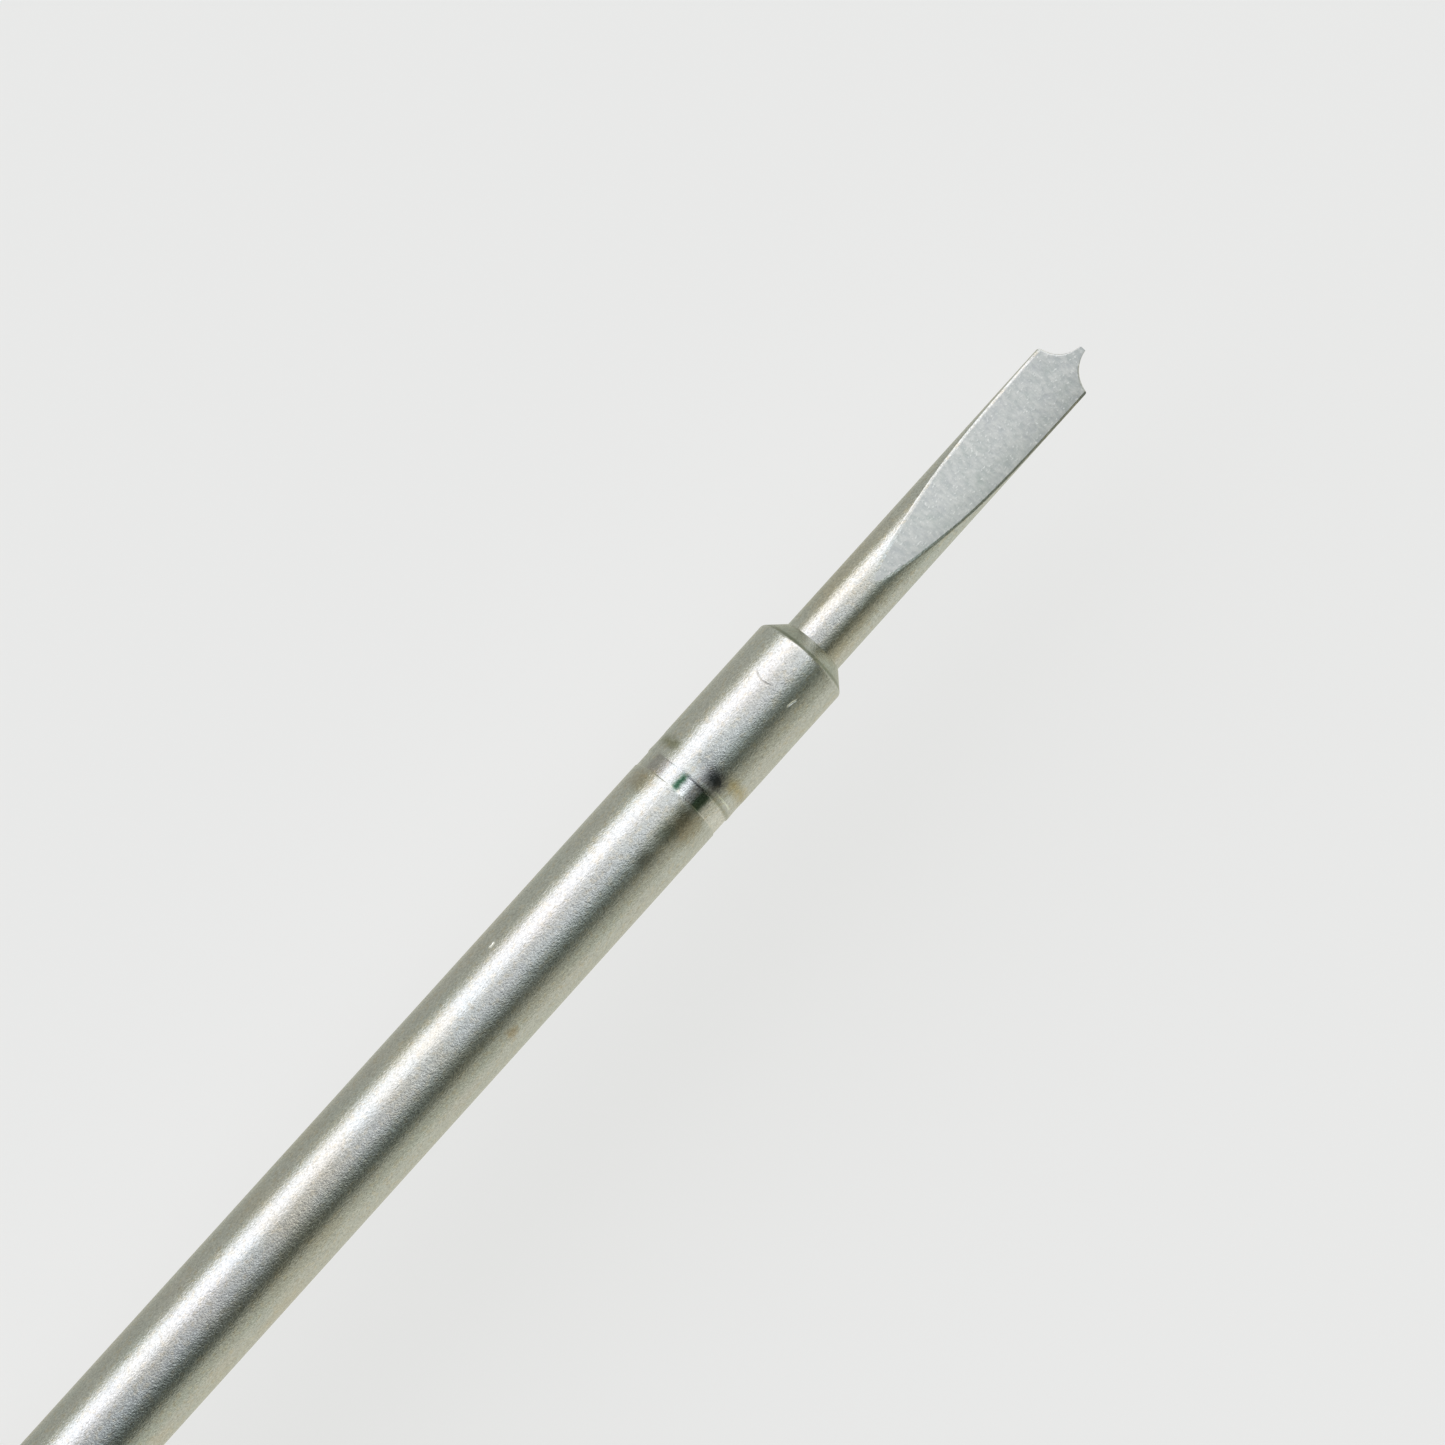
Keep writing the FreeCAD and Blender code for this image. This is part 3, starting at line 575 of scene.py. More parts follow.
def ground_steel():
    """The blade's flats: fine matte grinding marks across faint mottling."""
    material, tree, shader = new_material("ground_steel")
    mottle = noise(tree, 0.11, (1, 1.8, 1), detail=5.0, seed=2.0)
    tint = noise(tree, 0.5, seed=9.0)
    grain = noise(tree, 0.05, (1.8, 1, 1), detail=3.0, seed=4.0)
    colour = blend(tree, between(tree, tint), (0.59, 0.60, 0.615), (0.57, 0.60, 0.585))
    colour = blend(tree, between(tree, mottle, 0, 1, 0.36, 0.66), colour, (0.74, 0.74, 0.73))
    colour = blend(tree, between(tree, grain, 0, 0.8, 0.57, 0.70), colour, (0.97, 0.97, 0.96))
    roughness = between(tree, grain, 0.46, 0.60)
    surface(tree, shader, colour, roughness, [(mottle, 6.0), (grain, 4.0)])
    return material


def plain_metal(name, colour, second, roughness, grain_size, stretch, relief):
    """A metal whose colour drifts between two tones, with a grain of its own."""
    material, tree, shader = new_material(name)
    drift = noise(tree, 1.6, stretch, seed=11.0)
    grain = noise(tree, grain_size, stretch, detail=3.0, seed=12.0)
    tone = blend(tree, between(tree, drift), colour, second)
    shine = between(tree, grain, roughness - 0.05, roughness + 0.07)
    surface(tree, shader, tone, shine, [(grain, relief)])
    return material


def anodised(name, colour, second, roughness, worn=None):
    """Dyed anodised aluminium: fine turning lines round the tool, and thinner dye on sharp edges
    that are worn."""
    material, tree, shader = new_material(name)
    lines = noise(tree, 0.05, (0.6, 12, 12), seed=21.0)
    speckle = noise(tree, 0.04, detail=3.0, seed=22.0)
    patches = noise(tree, 1.2, seed=23.0)
    tone = blend(tree, between(tree, patches), colour, second)
    if worn:
        edges = add_node(tree, "NewGeometry").outputs["Pointiness"]
        rubbed = math_node(
            tree, "MULTIPLY", between(tree, edges, 0.0, 0.55, 0.52, 0.58), between(tree, patches, 0.2, 1))
        tone = blend(tree, rubbed, tone, worn)
    shine = between(tree, speckle, roughness - 0.05, roughness + 0.08)
    surface(tree, shader, tone, shine, [(lines, 0.8), (speckle, 1.2)])
    return material


def rubber():
    """Black nitrile rubber, a little dusty."""
    material, tree, shader = new_material("black_rubber", 0.0)
    speckle = noise(tree, 0.06, detail=4.0, seed=31.0)
    dust = noise(tree, 0.5, detail=3.0, seed=32.0)
    tone = blend(tree, between(tree, dust, 0, 0.5), (0.014, 0.014, 0.015), (0.045, 0.044, 0.042))
    shine = between(tree, speckle, 0.55, 0.75)
    surface(tree, shader, tone, shine, [(speckle, 5.0)])
    return material


SHANK_METAL = satin_nickel("shank_nickel", True)
COLLAR_METAL = plain_metal("collar_nickel", NICKEL, NICKEL_COOL, 0.24, 0.04, (0.5, 9, 9), 1.2)
BLADE_ROD_METAL = satin_nickel("blade_rod", False)
GROUND_METAL = ground_steel()
BLACK_OXIDE = plain_metal(
    "black_oxide", (0.055, 0.055, 0.06), (0.085, 0.08, 0.078), 0.34, 0.07, (1, 1, 1), 2.0)
BEARING_STEEL = plain_metal(
    "bearing_steel", (0.72, 0.73, 0.74), (0.66, 0.67, 0.69), 0.12, 0.05, (0.5, 8, 8), 0.4)
SPRING_STEEL = plain_metal(
    "spring_steel", (0.26, 0.26, 0.29), (0.32, 0.29, 0.27), 0.30, 0.06, (1, 3, 3), 1.2)
CAGE_BRASS = plain_metal(
    "cage_brass", (0.76, 0.56, 0.25), (0.70, 0.49, 0.20), 0.24, 0.05, (0.5, 6, 6), 1.0)
GRIP_BLACK = anodised(
    "grip_black", (0.030, 0.030, 0.034), (0.042, 0.042, 0.045), 0.33, worn=(0.30, 0.30, 0.31))
SIZE_VIOLET = anodised("size_violet", (0.20, 0.06, 0.36), (0.25, 0.09, 0.42), 0.27)
HEAD_SILVER = anodised(
    "head_silver", (0.66, 0.67, 0.68), (0.60, 0.61, 0.63), 0.30, worn=(0.80, 0.80, 0.81))
BLACK_RUBBER = rubber()


# --- blade ---

EASE_SLOPE = math.asin(EASE_FRONT / HOLLOW_RADIUS)
CREST_X = EASE_FRONT + EASE_RADIUS * math.sin(EASE_SLOPE)
CREST_Z = (
    TIP_HALF_THICKNESS + HOLLOW_RADIUS * (1 - math.cos(EASE_SLOPE))
    + EASE_RADIUS * (1 - math.cos(EASE_SLOPE)))


def flat_height(x):
    """How far the flat stands from the blade's middle plane: hollow in front, eased behind."""
    if x < EASE_FRONT:
        return TIP_HALF_THICKNESS + HOLLOW_RADIUS - math.sqrt(HOLLOW_RADIUS ** 2 - x ** 2)
    return CREST_Z - EASE_RADIUS + math.sqrt(EASE_RADIUS ** 2 - (CREST_X - x) ** 2)


def flat_end():
    """Where the flat runs out of the round rod."""
    return CREST_X - math.sqrt(EASE_RADIUS ** 2 - (EASE_RADIUS - CREST_Z + BLADE_R) ** 2)


def crown(y, side):
    """How much lower the hand-stoned flat is at a distance y from the axis, on one side of it."""
    return FLAT_CROWN[side] * y * y


def scallop_x(y):
    """How far behind the pilot's end the scallop lies at a distance y from the axis."""
    return math.sqrt(SCALLOP_R ** 2 - (SCALLOP_OFFSET - y) ** 2) - SCALLOP_AHEAD


PILOT_STEPS = 6
CORNER_STEPS = 5
FLANK_STEPS = 7
SCALLOP_STEPS = 44
TO_SCALLOP = PILOT_STEPS + CORNER_STEPS + FLANK_STEPS
FLAT_COUNT = TO_SCALLOP + SCALLOP_STEPS
EDGE_GROWTH_STEPS = 12
ARC_STEPS = 28
ROUND_ROWS = 6
TIP_ROWS = 22
TIP_ROW_SPACING = 1.5
FLAT_ROWS = 90
FLAT_ROW_SPACING = 1.6


def tip_contour(half_width):
    """Half of the tip's contour, as (x, y) points from the pilot's middle to the flat's edge."""
    corner_y = PILOT_END_HALF_WIDTH - PILOT_CORNER_ROUND
    points = [(0.0, corner_y * k / PILOT_STEPS) for k in range(PILOT_STEPS)]
    for k in range(CORNER_STEPS + 1):
        angle = math.pi / 2 * k / CORNER_STEPS
        x = PILOT_CORNER_ROUND * (1 - math.cos(angle))
        points.append((x, corner_y + PILOT_CORNER_ROUND * math.sin(angle)))
    root_x = scallop_x(PILOT_ROOT_HALF_WIDTH)
    for k in range(1, FLANK_STEPS):
        s = k / FLANK_STEPS
        x = PILOT_CORNER_ROUND + s * (root_x - PILOT_CORNER_ROUND)
        points.append((x, PILOT_END_HALF_WIDTH + s * (PILOT_ROOT_HALF_WIDTH - PILOT_END_HALF_WIDTH)))
    for k in range(SCALLOP_STEPS + 1):
        y = PILOT_ROOT_HALF_WIDTH + (half_width - PILOT_ROOT_HALF_WIDTH) * k / SCALLOP_STEPS
        points.append((scallop_x(y), y))
    return points


def half_section(x, side):
    """One side of the blade's upper surface at x, as (y, z) points from the middle outwards: the
    flat, then the rod's round side. A narrow strip between them breaks the crease."""
    height = min(flat_height(x), BLADE_R)
    crease_y = math.sqrt(BLADE_R ** 2 - height ** 2)
    to_crease = math.acos((height - crown(crease_y, side)) / BLADE_R) if crease_y else 0.0
    crease_y = BLADE_R * math.sin(to_crease)
    flat_y = crease_y - min(CREASE_ON_FLAT, 0.3 * crease_y)
    arc_start = to_crease + min(CREASE_ON_SIDE / BLADE_R, 0.3 * to_crease)
    points = []
    for k in range(FLAT_COUNT + 1):
        y = flat_y * k / FLAT_COUNT
        points.append((y, height - crown(y, side)))
    for k in range(ARC_STEPS + 1):
        angle = arc_start + (math.pi / 2 - arc_start) * k / ARC_STEPS
        points.append((BLADE_R * math.sin(angle), BLADE_R * math.cos(angle)))
    return points


def tip_rows(side):
    """One side of the upper surface in the tip zone, row by row from the contour, whose edge the
    first rows roll over."""
    last = half_section(TIP_ZONE_END, side)
    contour = tip_contour(last[FLAT_COUNT][0])
    contour += [(scallop_x(y), y) for y, _ in last[FLAT_COUNT + 1:]]
    rows = [[] for _ in range(ROUND_ROWS + TIP_ROWS)]
    for j, (x, y) in enumerate(contour):
        ahead = Vector(contour[min(j + 1, len(contour) - 1)])
        behind = Vector(contour[j - 1]) if j else Vector((contour[1][0], -contour[1][1]))
        along_edge = (ahead - behind).normalized()
        on_side = j > FLAT_COUNT
        inward = Vector((1, 0) if on_side else (along_edge.y, -along_edge.x))
        past_root = min(max((j - TO_SCALLOP) / EDGE_GROWTH_STEPS, 0), 1)
        edge_round = PILOT_EDGE_ROUND + past_root * (SCALLOP_EDGE_ROUND - PILOT_EDGE_ROUND)
        for i, row in enumerate(rows):
            roll = math.pi / 2 * min(i / ROUND_ROWS, 1)
            inset = edge_round * (1 - math.cos(roll))
            drop = edge_round * (1 - math.sin(roll))
            place = Vector((x, y)) + inward * inset
            beyond = (max(i - ROUND_ROWS, 0) / TIP_ROWS) ** TIP_ROW_SPACING
            place = place.lerp(Vector((TIP_ZONE_END, last[j][0])), beyond)
            if on_side:
                side_z = math.sqrt(max(BLADE_R ** 2 - place.y ** 2, 0))
                shrink = 1 - drop / BLADE_R
                row.append((place.x, place.y * shrink, side_z * shrink))
            else:
                height = flat_height(place.x) - crown(place.y, side)
                row.append((place.x, place.y, height - drop))
    return rows


def with_bevel(row):
    """The row with more points on the narrow strip between the flat and the round side."""
    rest = FLAT_COUNT + 1
    start, end = Vector(row[FLAT_COUNT]), Vector(row[rest])
    strip = [tuple(start.lerp(end, k / CREASE_ROWS)) for k in range(1, CREASE_ROWS)]
    return row[:rest] + strip + row[rest:]


def blade_rows(side):
    """One side of the blade's upper surface from the tip's contour to where the flat runs out."""
    rows = tip_rows(side)
    end = flat_end()
    for i in range(FLAT_ROWS + 1):
        x = end - (end - TIP_ZONE_END) * (1 - i / FLAT_ROWS) ** FLAT_ROW_SPACING
        rows.append([(x, y, z) for y, z in half_section(x, side)])
    return [with_bevel(row) for row in rows]


def make_blade():
    """The hardened blade: a rod with two hollow-ground flats, two scallops and a pilot point."""
    mesh = bmesh.new()
    for side in (1, -1):
        rows = blade_rows(side)
        for up in (1, -1):
            grid = []
            for row in rows:
                grid.append([mesh.verts.new((x, side * y, up * z)) for x, y, z in row])
            for first, second in zip(grid, grid[1:]):
                for j in range(len(first) - 1):
                    face = mesh.faces.new((first[j], first[j + 1], second[j + 1], second[j]))
                    face.material_index = 0 if j < FLAT_COUNT else 1
        lip = rows[0]
        for start, end in zip(lip, lip[1:]):
            corners = []
            for (x, y, z), up in ((start, 1), (end, 1), (end, -1), (start, -1)):
                corners.append(mesh.verts.new((x, side * y, up * z)))
            mesh.faces.new(corners).material_index = 1
    outline = [
        (flat_end(), BLADE_R),
        *notch(CRIMP, BLADE_R, BLADE_R - CRIMP_BITE, CRIMP_BITE, ROD_ROUND),
        (BLADE_REAR - EDGE, BLADE_R), (BLADE_REAR, BLADE_R - EDGE),
        (BLADE_REAR, 0),
    ]
    quarter = [math.pi / 2 * k / ARC_STEPS for k in range(ARC_STEPS)]
    angles = [start + step for start in (0, math.pi / 2, math.pi, 3 * math.pi / 2) for step in quarter]
    rings = []
    for x, r in rounded(outline, ROD_ROUND, loop=False, steps=2):
        spin = angles if r > ON_AXIS else [0]
        rings.append([mesh.verts.new((x, r * math.sin(a), r * math.cos(a))) for a in spin])
    rod_start = len(mesh.faces)
    for first, second in zip(rings, rings[1:]):
        join_rings(mesh, first, second)
    mesh.faces.ensure_lookup_table()
    for face in mesh.faces[rod_start:]:
        face.material_index = 1
    bmesh.ops.remove_doubles(mesh, verts=mesh.verts, dist=1e-5)
    piece("ground_blade", mesh, "blade_unit", "blade", [GROUND_METAL, BLADE_ROD_METAL])


# --- shank ---

def crimp_shape(x, r, angle):
    """The groove isn't quite round, and the rod beside it is a little uneven."""
    middle = (CRIMP[0] + CRIMP[1]) / 2
    if r < SHANK_R - 2 * CRIMP_DEPTH:
        return x, r
    near = math.exp(-((x - middle) / 0.26) ** 4)
    beside = math.exp(-((x - middle + 0.60) / 0.30) ** 4)
    ripple = math.sin(9 * angle + 0.9) + 0.6 * math.sin(5 * angle + 2.1)
    soft = math.sin(6 * angle + 0.4)
    return x, r - 0.0025 * near * (1 + 0.6 * ripple) - 0.002 * beside * (1 + soft)


def make_shank():
    """The slim holder: chamfered, rolled on to the blade, with a thinner flatted tang behind."""
    shoulder = COLLAR_FRONT - 0.02
    rim = SHANK_FRONT + SHANK_CHAMFER
    outline = [
        (SHANK_FRONT, BLADE_BORE_R, 0), (SHANK_FRONT, SHANK_R - SHANK_CHAMFER, 0.006),
        (rim, SHANK_R, 0.16),
        *along((rim, SHANK_R), (SECOND_CRIMP[0], SHANK_R), 6)[1:],
        *groove(SECOND_CRIMP, SHANK_R, SECOND_CRIMP_DEPTH),
        *notch(CRIMP, SHANK_R, SHANK_R - CRIMP_DEPTH, CRIMP_WALL, 0.03),
        *along((CRIMP[1], SHANK_R), (shoulder, SHANK_R), 24)[1:],
        (shoulder, SHANK_R, EDGE), (shoulder, TANG_R, 0.03),
        (CLAMP_FLAT_FRONT - 0.01, TANG_R, 0), (CLAMP_FLAT_FRONT + 0.01, TANG_R, 0),
        (SHANK_REAR, TANG_R, EDGE), (SHANK_REAR, 0),
        (BLADE_BORE_END, 0), (BLADE_BORE_END, BLADE_BORE_R, 0),
        *reversed(notch(CRIMP, BLADE_BORE_R, BLADE_BORE_R - CRIMP_BITE, CRIMP_BITE)),
    ]
    smooth = rounded(outline, 0.0, steps=6)

    def at_angle(angle):
        points = []
        for x, r in smooth:
            if x > CLAMP_FLAT_FRONT and r * math.cos(angle) > CLAMP_FLAT_Z:
                points.append((x, CLAMP_FLAT_Z / math.cos(angle)))
            else:
                points.append(crimp_shape(x, r, angle))
        return points

    mesh = bmesh.new()
    turn(mesh, at_angle, even_angles(SHANK_SEGMENTS))
    piece("rolled_shank", mesh, "blade_unit", "shank", [SHANK_METAL])


make_blade()
make_shank()


# --- collar and set screws ---

FLAT_EDGE = math.acos(HEX_HALF_FLATS / HEX_CORNER_R)
HEX_PITCH = math.pi / 3


def from_flat(angle):
    """The angle from the middle of the nearest flat of a hexagon with one flat upwards."""
    return (angle + HEX_PITCH / 2) % HEX_PITCH - HEX_PITCH / 2


def collar_angles():
    """Angles round the collar, closer together where its flats end."""
    across_flat = [-1 + k / 7 for k in range(15)]
    near_edge = [math.radians(step) for step in (-0.8, -0.4, 0.4, 0.8)]
    angles = []
    for i in range(6):
        middle = HEX_PITCH * i
        angles += [middle + FLAT_EDGE * step for step in across_flat]
        angles += [middle + FLAT_EDGE + step for step in near_edge]
        angles += [middle - FLAT_EDGE + step for step in near_edge]
        angles += [middle + HEX_PITCH / 2 + math.radians(step) for step in (-2, 0, 2)]
    return sorted(angles)


def collar_outline(angle):
    """The collar's outline, where its corner radius is cut down to the hexagon's flat."""
    flat_r = HEX_HALF_FLATS / math.cos(from_flat(angle))
    hex_r = soft_min(HEX_CORNER_R, flat_r, SOFT_EDGE)
    chamfer = hex_r - HEX_FACE_R
    groove_front, groove_rear = BOSS_GROOVE
    groove_r = BOSS_R - BOSS_GROOVE_DEPTH
    nose_end = (NOSE_REAR, NOSE_R)
    cove_end = (HEX_FRONT, HEX_SHOULDER_R)
    cove_mid = ((NOSE_REAR + HEX_FRONT) / 2, (NOSE_R + HEX_SHOULDER_R) / 2 - COVE_SAG)
    return rounded([
        (COLLAR_FRONT, TANG_BORE_R + EDGE), (COLLAR_FRONT, NOSE_R - EDGE),
        (COLLAR_FRONT + EDGE, NOSE_R),
        nose_end,
        *arc(nose_end, cove_mid, cove_end),
        cove_end,
        (HEX_FRONT, HEX_FACE_R), (HEX_FRONT + chamfer, hex_r),
        (HEX_REAR - chamfer, hex_r), (HEX_REAR, HEX_FACE_R),
        (HEX_REAR, BOSS_R), (groove_front - BOSS_GROOVE_DEPTH, BOSS_R),
        (groove_front, groove_r), (groove_rear, groove_r),
        (groove_rear + BOSS_GROOVE_DEPTH, BOSS_R), (COLLAR_REAR, BOSS_R),
        (COLLAR_REAR, CORE_R + 0.01), (CORE_SOCKET_FRONT, CORE_R + 0.01, 0),
        (CORE_SOCKET_FRONT, TANG_BORE_R, 0), (COLLAR_FRONT + EDGE, TANG_BORE_R, 0),
    ], 0.05)


def stand_up(mesh, verts, x):
    """Turns a shape that was turned about X so that it stands along Z at an x."""
    upright = Matrix.Rotation(-math.pi / 2, 4, "Y")
    bmesh.ops.transform(mesh, matrix=Matrix.Translation((x, 0, 0)) @ upright, verts=verts)


def make_collar():
    """The nickel-plated hexagonal collar, with two countersunk holes for the set screws."""
    mesh = bmesh.new()
    turn(mesh, collar_outline, collar_angles())
    cutter = bmesh.new()
    for node in ("set_screw_front", "set_screw_rear"):
        x = sum(x_range(node)) / 2
        rim_r = SET_SCREW_HOLE_R + SET_SCREW_COUNTERSINK
        outline = [
            (SET_SCREW_HOLE_R / 4, 0),
            (SET_SCREW_HOLE_R / 4, SET_SCREW_HOLE_R),
            (HEX_HALF_FLATS - SET_SCREW_COUNTERSINK, SET_SCREW_HOLE_R),
            (HEX_HALF_FLATS + 1, rim_r + 1),
            (HEX_HALF_FLATS + 1, 0),
        ]
        before = len(cutter.verts)
        turn(cutter, lambda angle: outline, even_angles(SCREW_SEGMENTS))
        cutter.verts.ensure_lookup_table()
        stand_up(cutter, cutter.verts[before:], x)
    piece("hex_collar", cut(mesh, cutter), "handle", "chuck_collar", [COLLAR_METAL])


def make_set_screw(node, name):
    """A headless screw with a hexagonal socket that ends in a drill point."""
    low, high = (corner.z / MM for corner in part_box(node))
    front, rear = x_range(node)
    outer_r = (rear - front) / 2
    outline = rounded([
        (low, 0), (low, outer_r - SET_SCREW_CHAMFER),
        (low + SET_SCREW_CHAMFER, outer_r), (high - SET_SCREW_CHAMFER, outer_r),
        (high, outer_r - SET_SCREW_CHAMFER), (high, SOCKET_HALF_FLATS),
        (high - SOCKET_DEPTH, SOCKET_HALF_FLATS, 0),
        (high - SOCKET_DEPTH - SOCKET_DRILL_POINT, 0),
    ], 0.03, loop=False)

    def at_angle(angle):
        points = []
        for z, r in outline:
            in_socket = z > high - SOCKET_DEPTH - ON_AXIS and r < SOCKET_HALF_FLATS + 2 * SOFT_EDGE
            points.append((z, r / math.cos(from_flat(angle)) if in_socket else r))
        return points

    mesh = bmesh.new()
    turn(mesh, at_angle, even_angles(SCREW_SEGMENTS))
    stand_up(mesh, mesh.verts, (front + rear) / 2)
    body = "front_set_screw" if node == "set_screw_front" else "rear_set_screw"
    piece(name, mesh, body, node, [BLACK_OXIDE])


# --- handle ---

def flute_floor(off, radius, depth, flute_r):
    """How far from the axis a round flute's floor is, at an angle off its middle."""
    centre_r = radius - depth + flute_r
    reach = centre_r * math.sin(off)
    if abs(reach) >= flute_r:
        return radius + flute_r
    return centre_r * math.cos(off) - math.sqrt(flute_r ** 2 - reach ** 2)


def fluted(outline, ends, count, radius, depth, flute_r):
    """An outline as a function of the angle, cut by straight flutes between two ends, and the
    angles at which it should be turned."""
    pitch = 2 * math.pi / count
    centre_r = radius - depth + flute_r
    edge = math.acos((radius ** 2 + centre_r ** 2 - flute_r ** 2) / (2 * radius * centre_r))
    angles = []
    for i in range(count):
        for step in (-1.0, -0.88, -0.7, -0.48, -0.24, 0.0, 0.24, 0.48, 0.7, 0.88, 1.0):
            angles.append(pitch * i + edge * step)
        angles.append(pitch * (i + 0.5))

    def at_angle(angle):
        off = (angle + pitch / 2) % pitch - pitch / 2
        floor = flute_floor(off, radius, depth, flute_r)
        points = []
        for x, r, *_ in outline:
            inside = ends[0] - SOFT_EDGE < x < ends[1] + SOFT_EDGE
            points.append((x, soft_min(r, floor, SOFT_EDGE) if inside else r))
        return points

    return at_angle, angles


def make_core():
    """The rod through the grip, with its tail flange and the neck under the head."""
    rim_rear = CORE_FLANGE_FRONT + FLANGE_RIM
    cove_mid = ((rim_rear + FLANGE_REAR) / 2, (FLANGE_R + TAIL_R) / 2 - TAIL_COVE_SAG)
    cove = ((rim_rear, FLANGE_R), cove_mid, (FLANGE_REAR - EDGE, TAIL_R))
    outline = rounded([
        (SHANK_REAR + 0.02, 0), (SHANK_REAR + 0.02, TANG_BORE_R, 0),
        (CORE_FRONT, TANG_BORE_R, 0), (CORE_FRONT, CORE_R - EDGE),
        (CORE_FRONT + EDGE, CORE_R), (CORE_FLANGE_FRONT, CORE_R, 0),
        (CORE_FLANGE_FRONT, FLANGE_R - EDGE), (CORE_FLANGE_FRONT + EDGE, FLANGE_R),
        cove[0],
        *arc(*cove),
        cove[2],
        (FLANGE_REAR, TAIL_R - EDGE), (FLANGE_REAR, NECK_R, 0.08),
        (CORE_REAR, NECK_R), (CORE_REAR, PIVOT_HOLE_R, 0),
        (PIVOT_HOLE_END, PIVOT_HOLE_R, 0), (PIVOT_HOLE_END, 0),
    ], 0.05, loop=False)
    turned_piece("core_rod", outline, "handle", "handle_core", COLLAR_METAL)


def bevel(start, end):
    """A bevel between two (x, r) points, in steps that the flutes can cut."""
    return [(*start, 0.02), *along(start, end, 5), (*end, 0.02)]


def make_sleeve():
    """The black sleeve with its straight knurl, plain ends and two grooves."""
    front_end = SLEEVE_FRONT + SLEEVE_END_LENGTH
    rear_end = SLEEVE_REAR - SLEEVE_END_LENGTH
    points = [
        (SLEEVE_FRONT, SLEEVE_BORE_R, 0),
        (SLEEVE_FRONT, SLEEVE_END_R, 0.08),
        *bevel((front_end, SLEEVE_END_R), (front_end + SLEEVE_BEVEL, SLEEVE_R)),
    ]
    for x in GRIP_RING_X:
        front = x - GRIP_GROOVE_HALF_WIDTH
        rear = x + GRIP_GROOVE_HALF_WIDTH
        low_r = SLEEVE_R - SLEEVE_BEVEL
        points += [
            *bevel((front - SLEEVE_BEVEL, SLEEVE_R), (front, low_r)),
            (front, GRIP_GROOVE_R, 0.04),
            (rear, GRIP_GROOVE_R, 0.04),
            *bevel((rear, low_r), (rear + SLEEVE_BEVEL, SLEEVE_R)),
        ]
    points += [
        *bevel((rear_end - SLEEVE_BEVEL, SLEEVE_R), (rear_end, SLEEVE_END_R)),
        (SLEEVE_REAR, SLEEVE_END_R, 0.08),
        (SLEEVE_REAR, SLEEVE_BORE_R, 0),
    ]
    outline, angles = fluted(
        rounded(points, 0.02, steps=3), (SLEEVE_FRONT, SLEEVE_REAR), SLEEVE_FLUTES, SLEEVE_R,
        SLEEVE_FLUTE_DEPTH, SLEEVE_FLUTE_R)
    turned_piece("knurled_sleeve", outline, "handle", "grip_sleeve", GRIP_BLACK, angles)


def make_rings():
    """The two rubber rings, each with the faint parting line of its mould."""
    mesh = bmesh.new()
    mean_r = GRIP_GROOVE_R + 0.01 + GRIP_CORD_R
    for x in GRIP_RING_X:
        outline = []
        for around in even_angles(CORD_SEGMENTS):
            line = math.exp(-(math.sin(around / 2) / 0.06) ** 2)
            cord = GRIP_CORD_R - PARTING_LINE + PARTING_LINE * line
            outline.append((x + cord * math.sin(around), mean_r + cord * math.cos(around)))
        turn(mesh, lambda angle: outline, even_angles(ROUND_SEGMENTS))
    piece("rubber_rings", mesh, "handle", "grip_rings", [BLACK_RUBBER])


def make_size_ring():
    """The barrel-shaped violet ring that gives the blade's width."""
    front, rear = COLOUR_RING_FRONT, COLOUR_RING_REAR
    barrel = (
        (front + EDGE, COLOUR_RING_END_R), ((front + rear) / 2, COLOUR_RING_R),
        (rear - EDGE, COLOUR_RING_END_R))
    outline = rounded([
        (front, SLEEVE_BORE_R, 0), (front, COLOUR_RING_END_R - EDGE),
        barrel[0],
        *arc(*barrel, 24),
        barrel[2],
        (rear, COLOUR_RING_END_R - EDGE), (rear, SLEEVE_BORE_R, 0),
    ], 0.05)
    turned_piece("size_ring", outline, "handle", "colour_ring", SIZE_VIOLET)


# --- swivel head ---

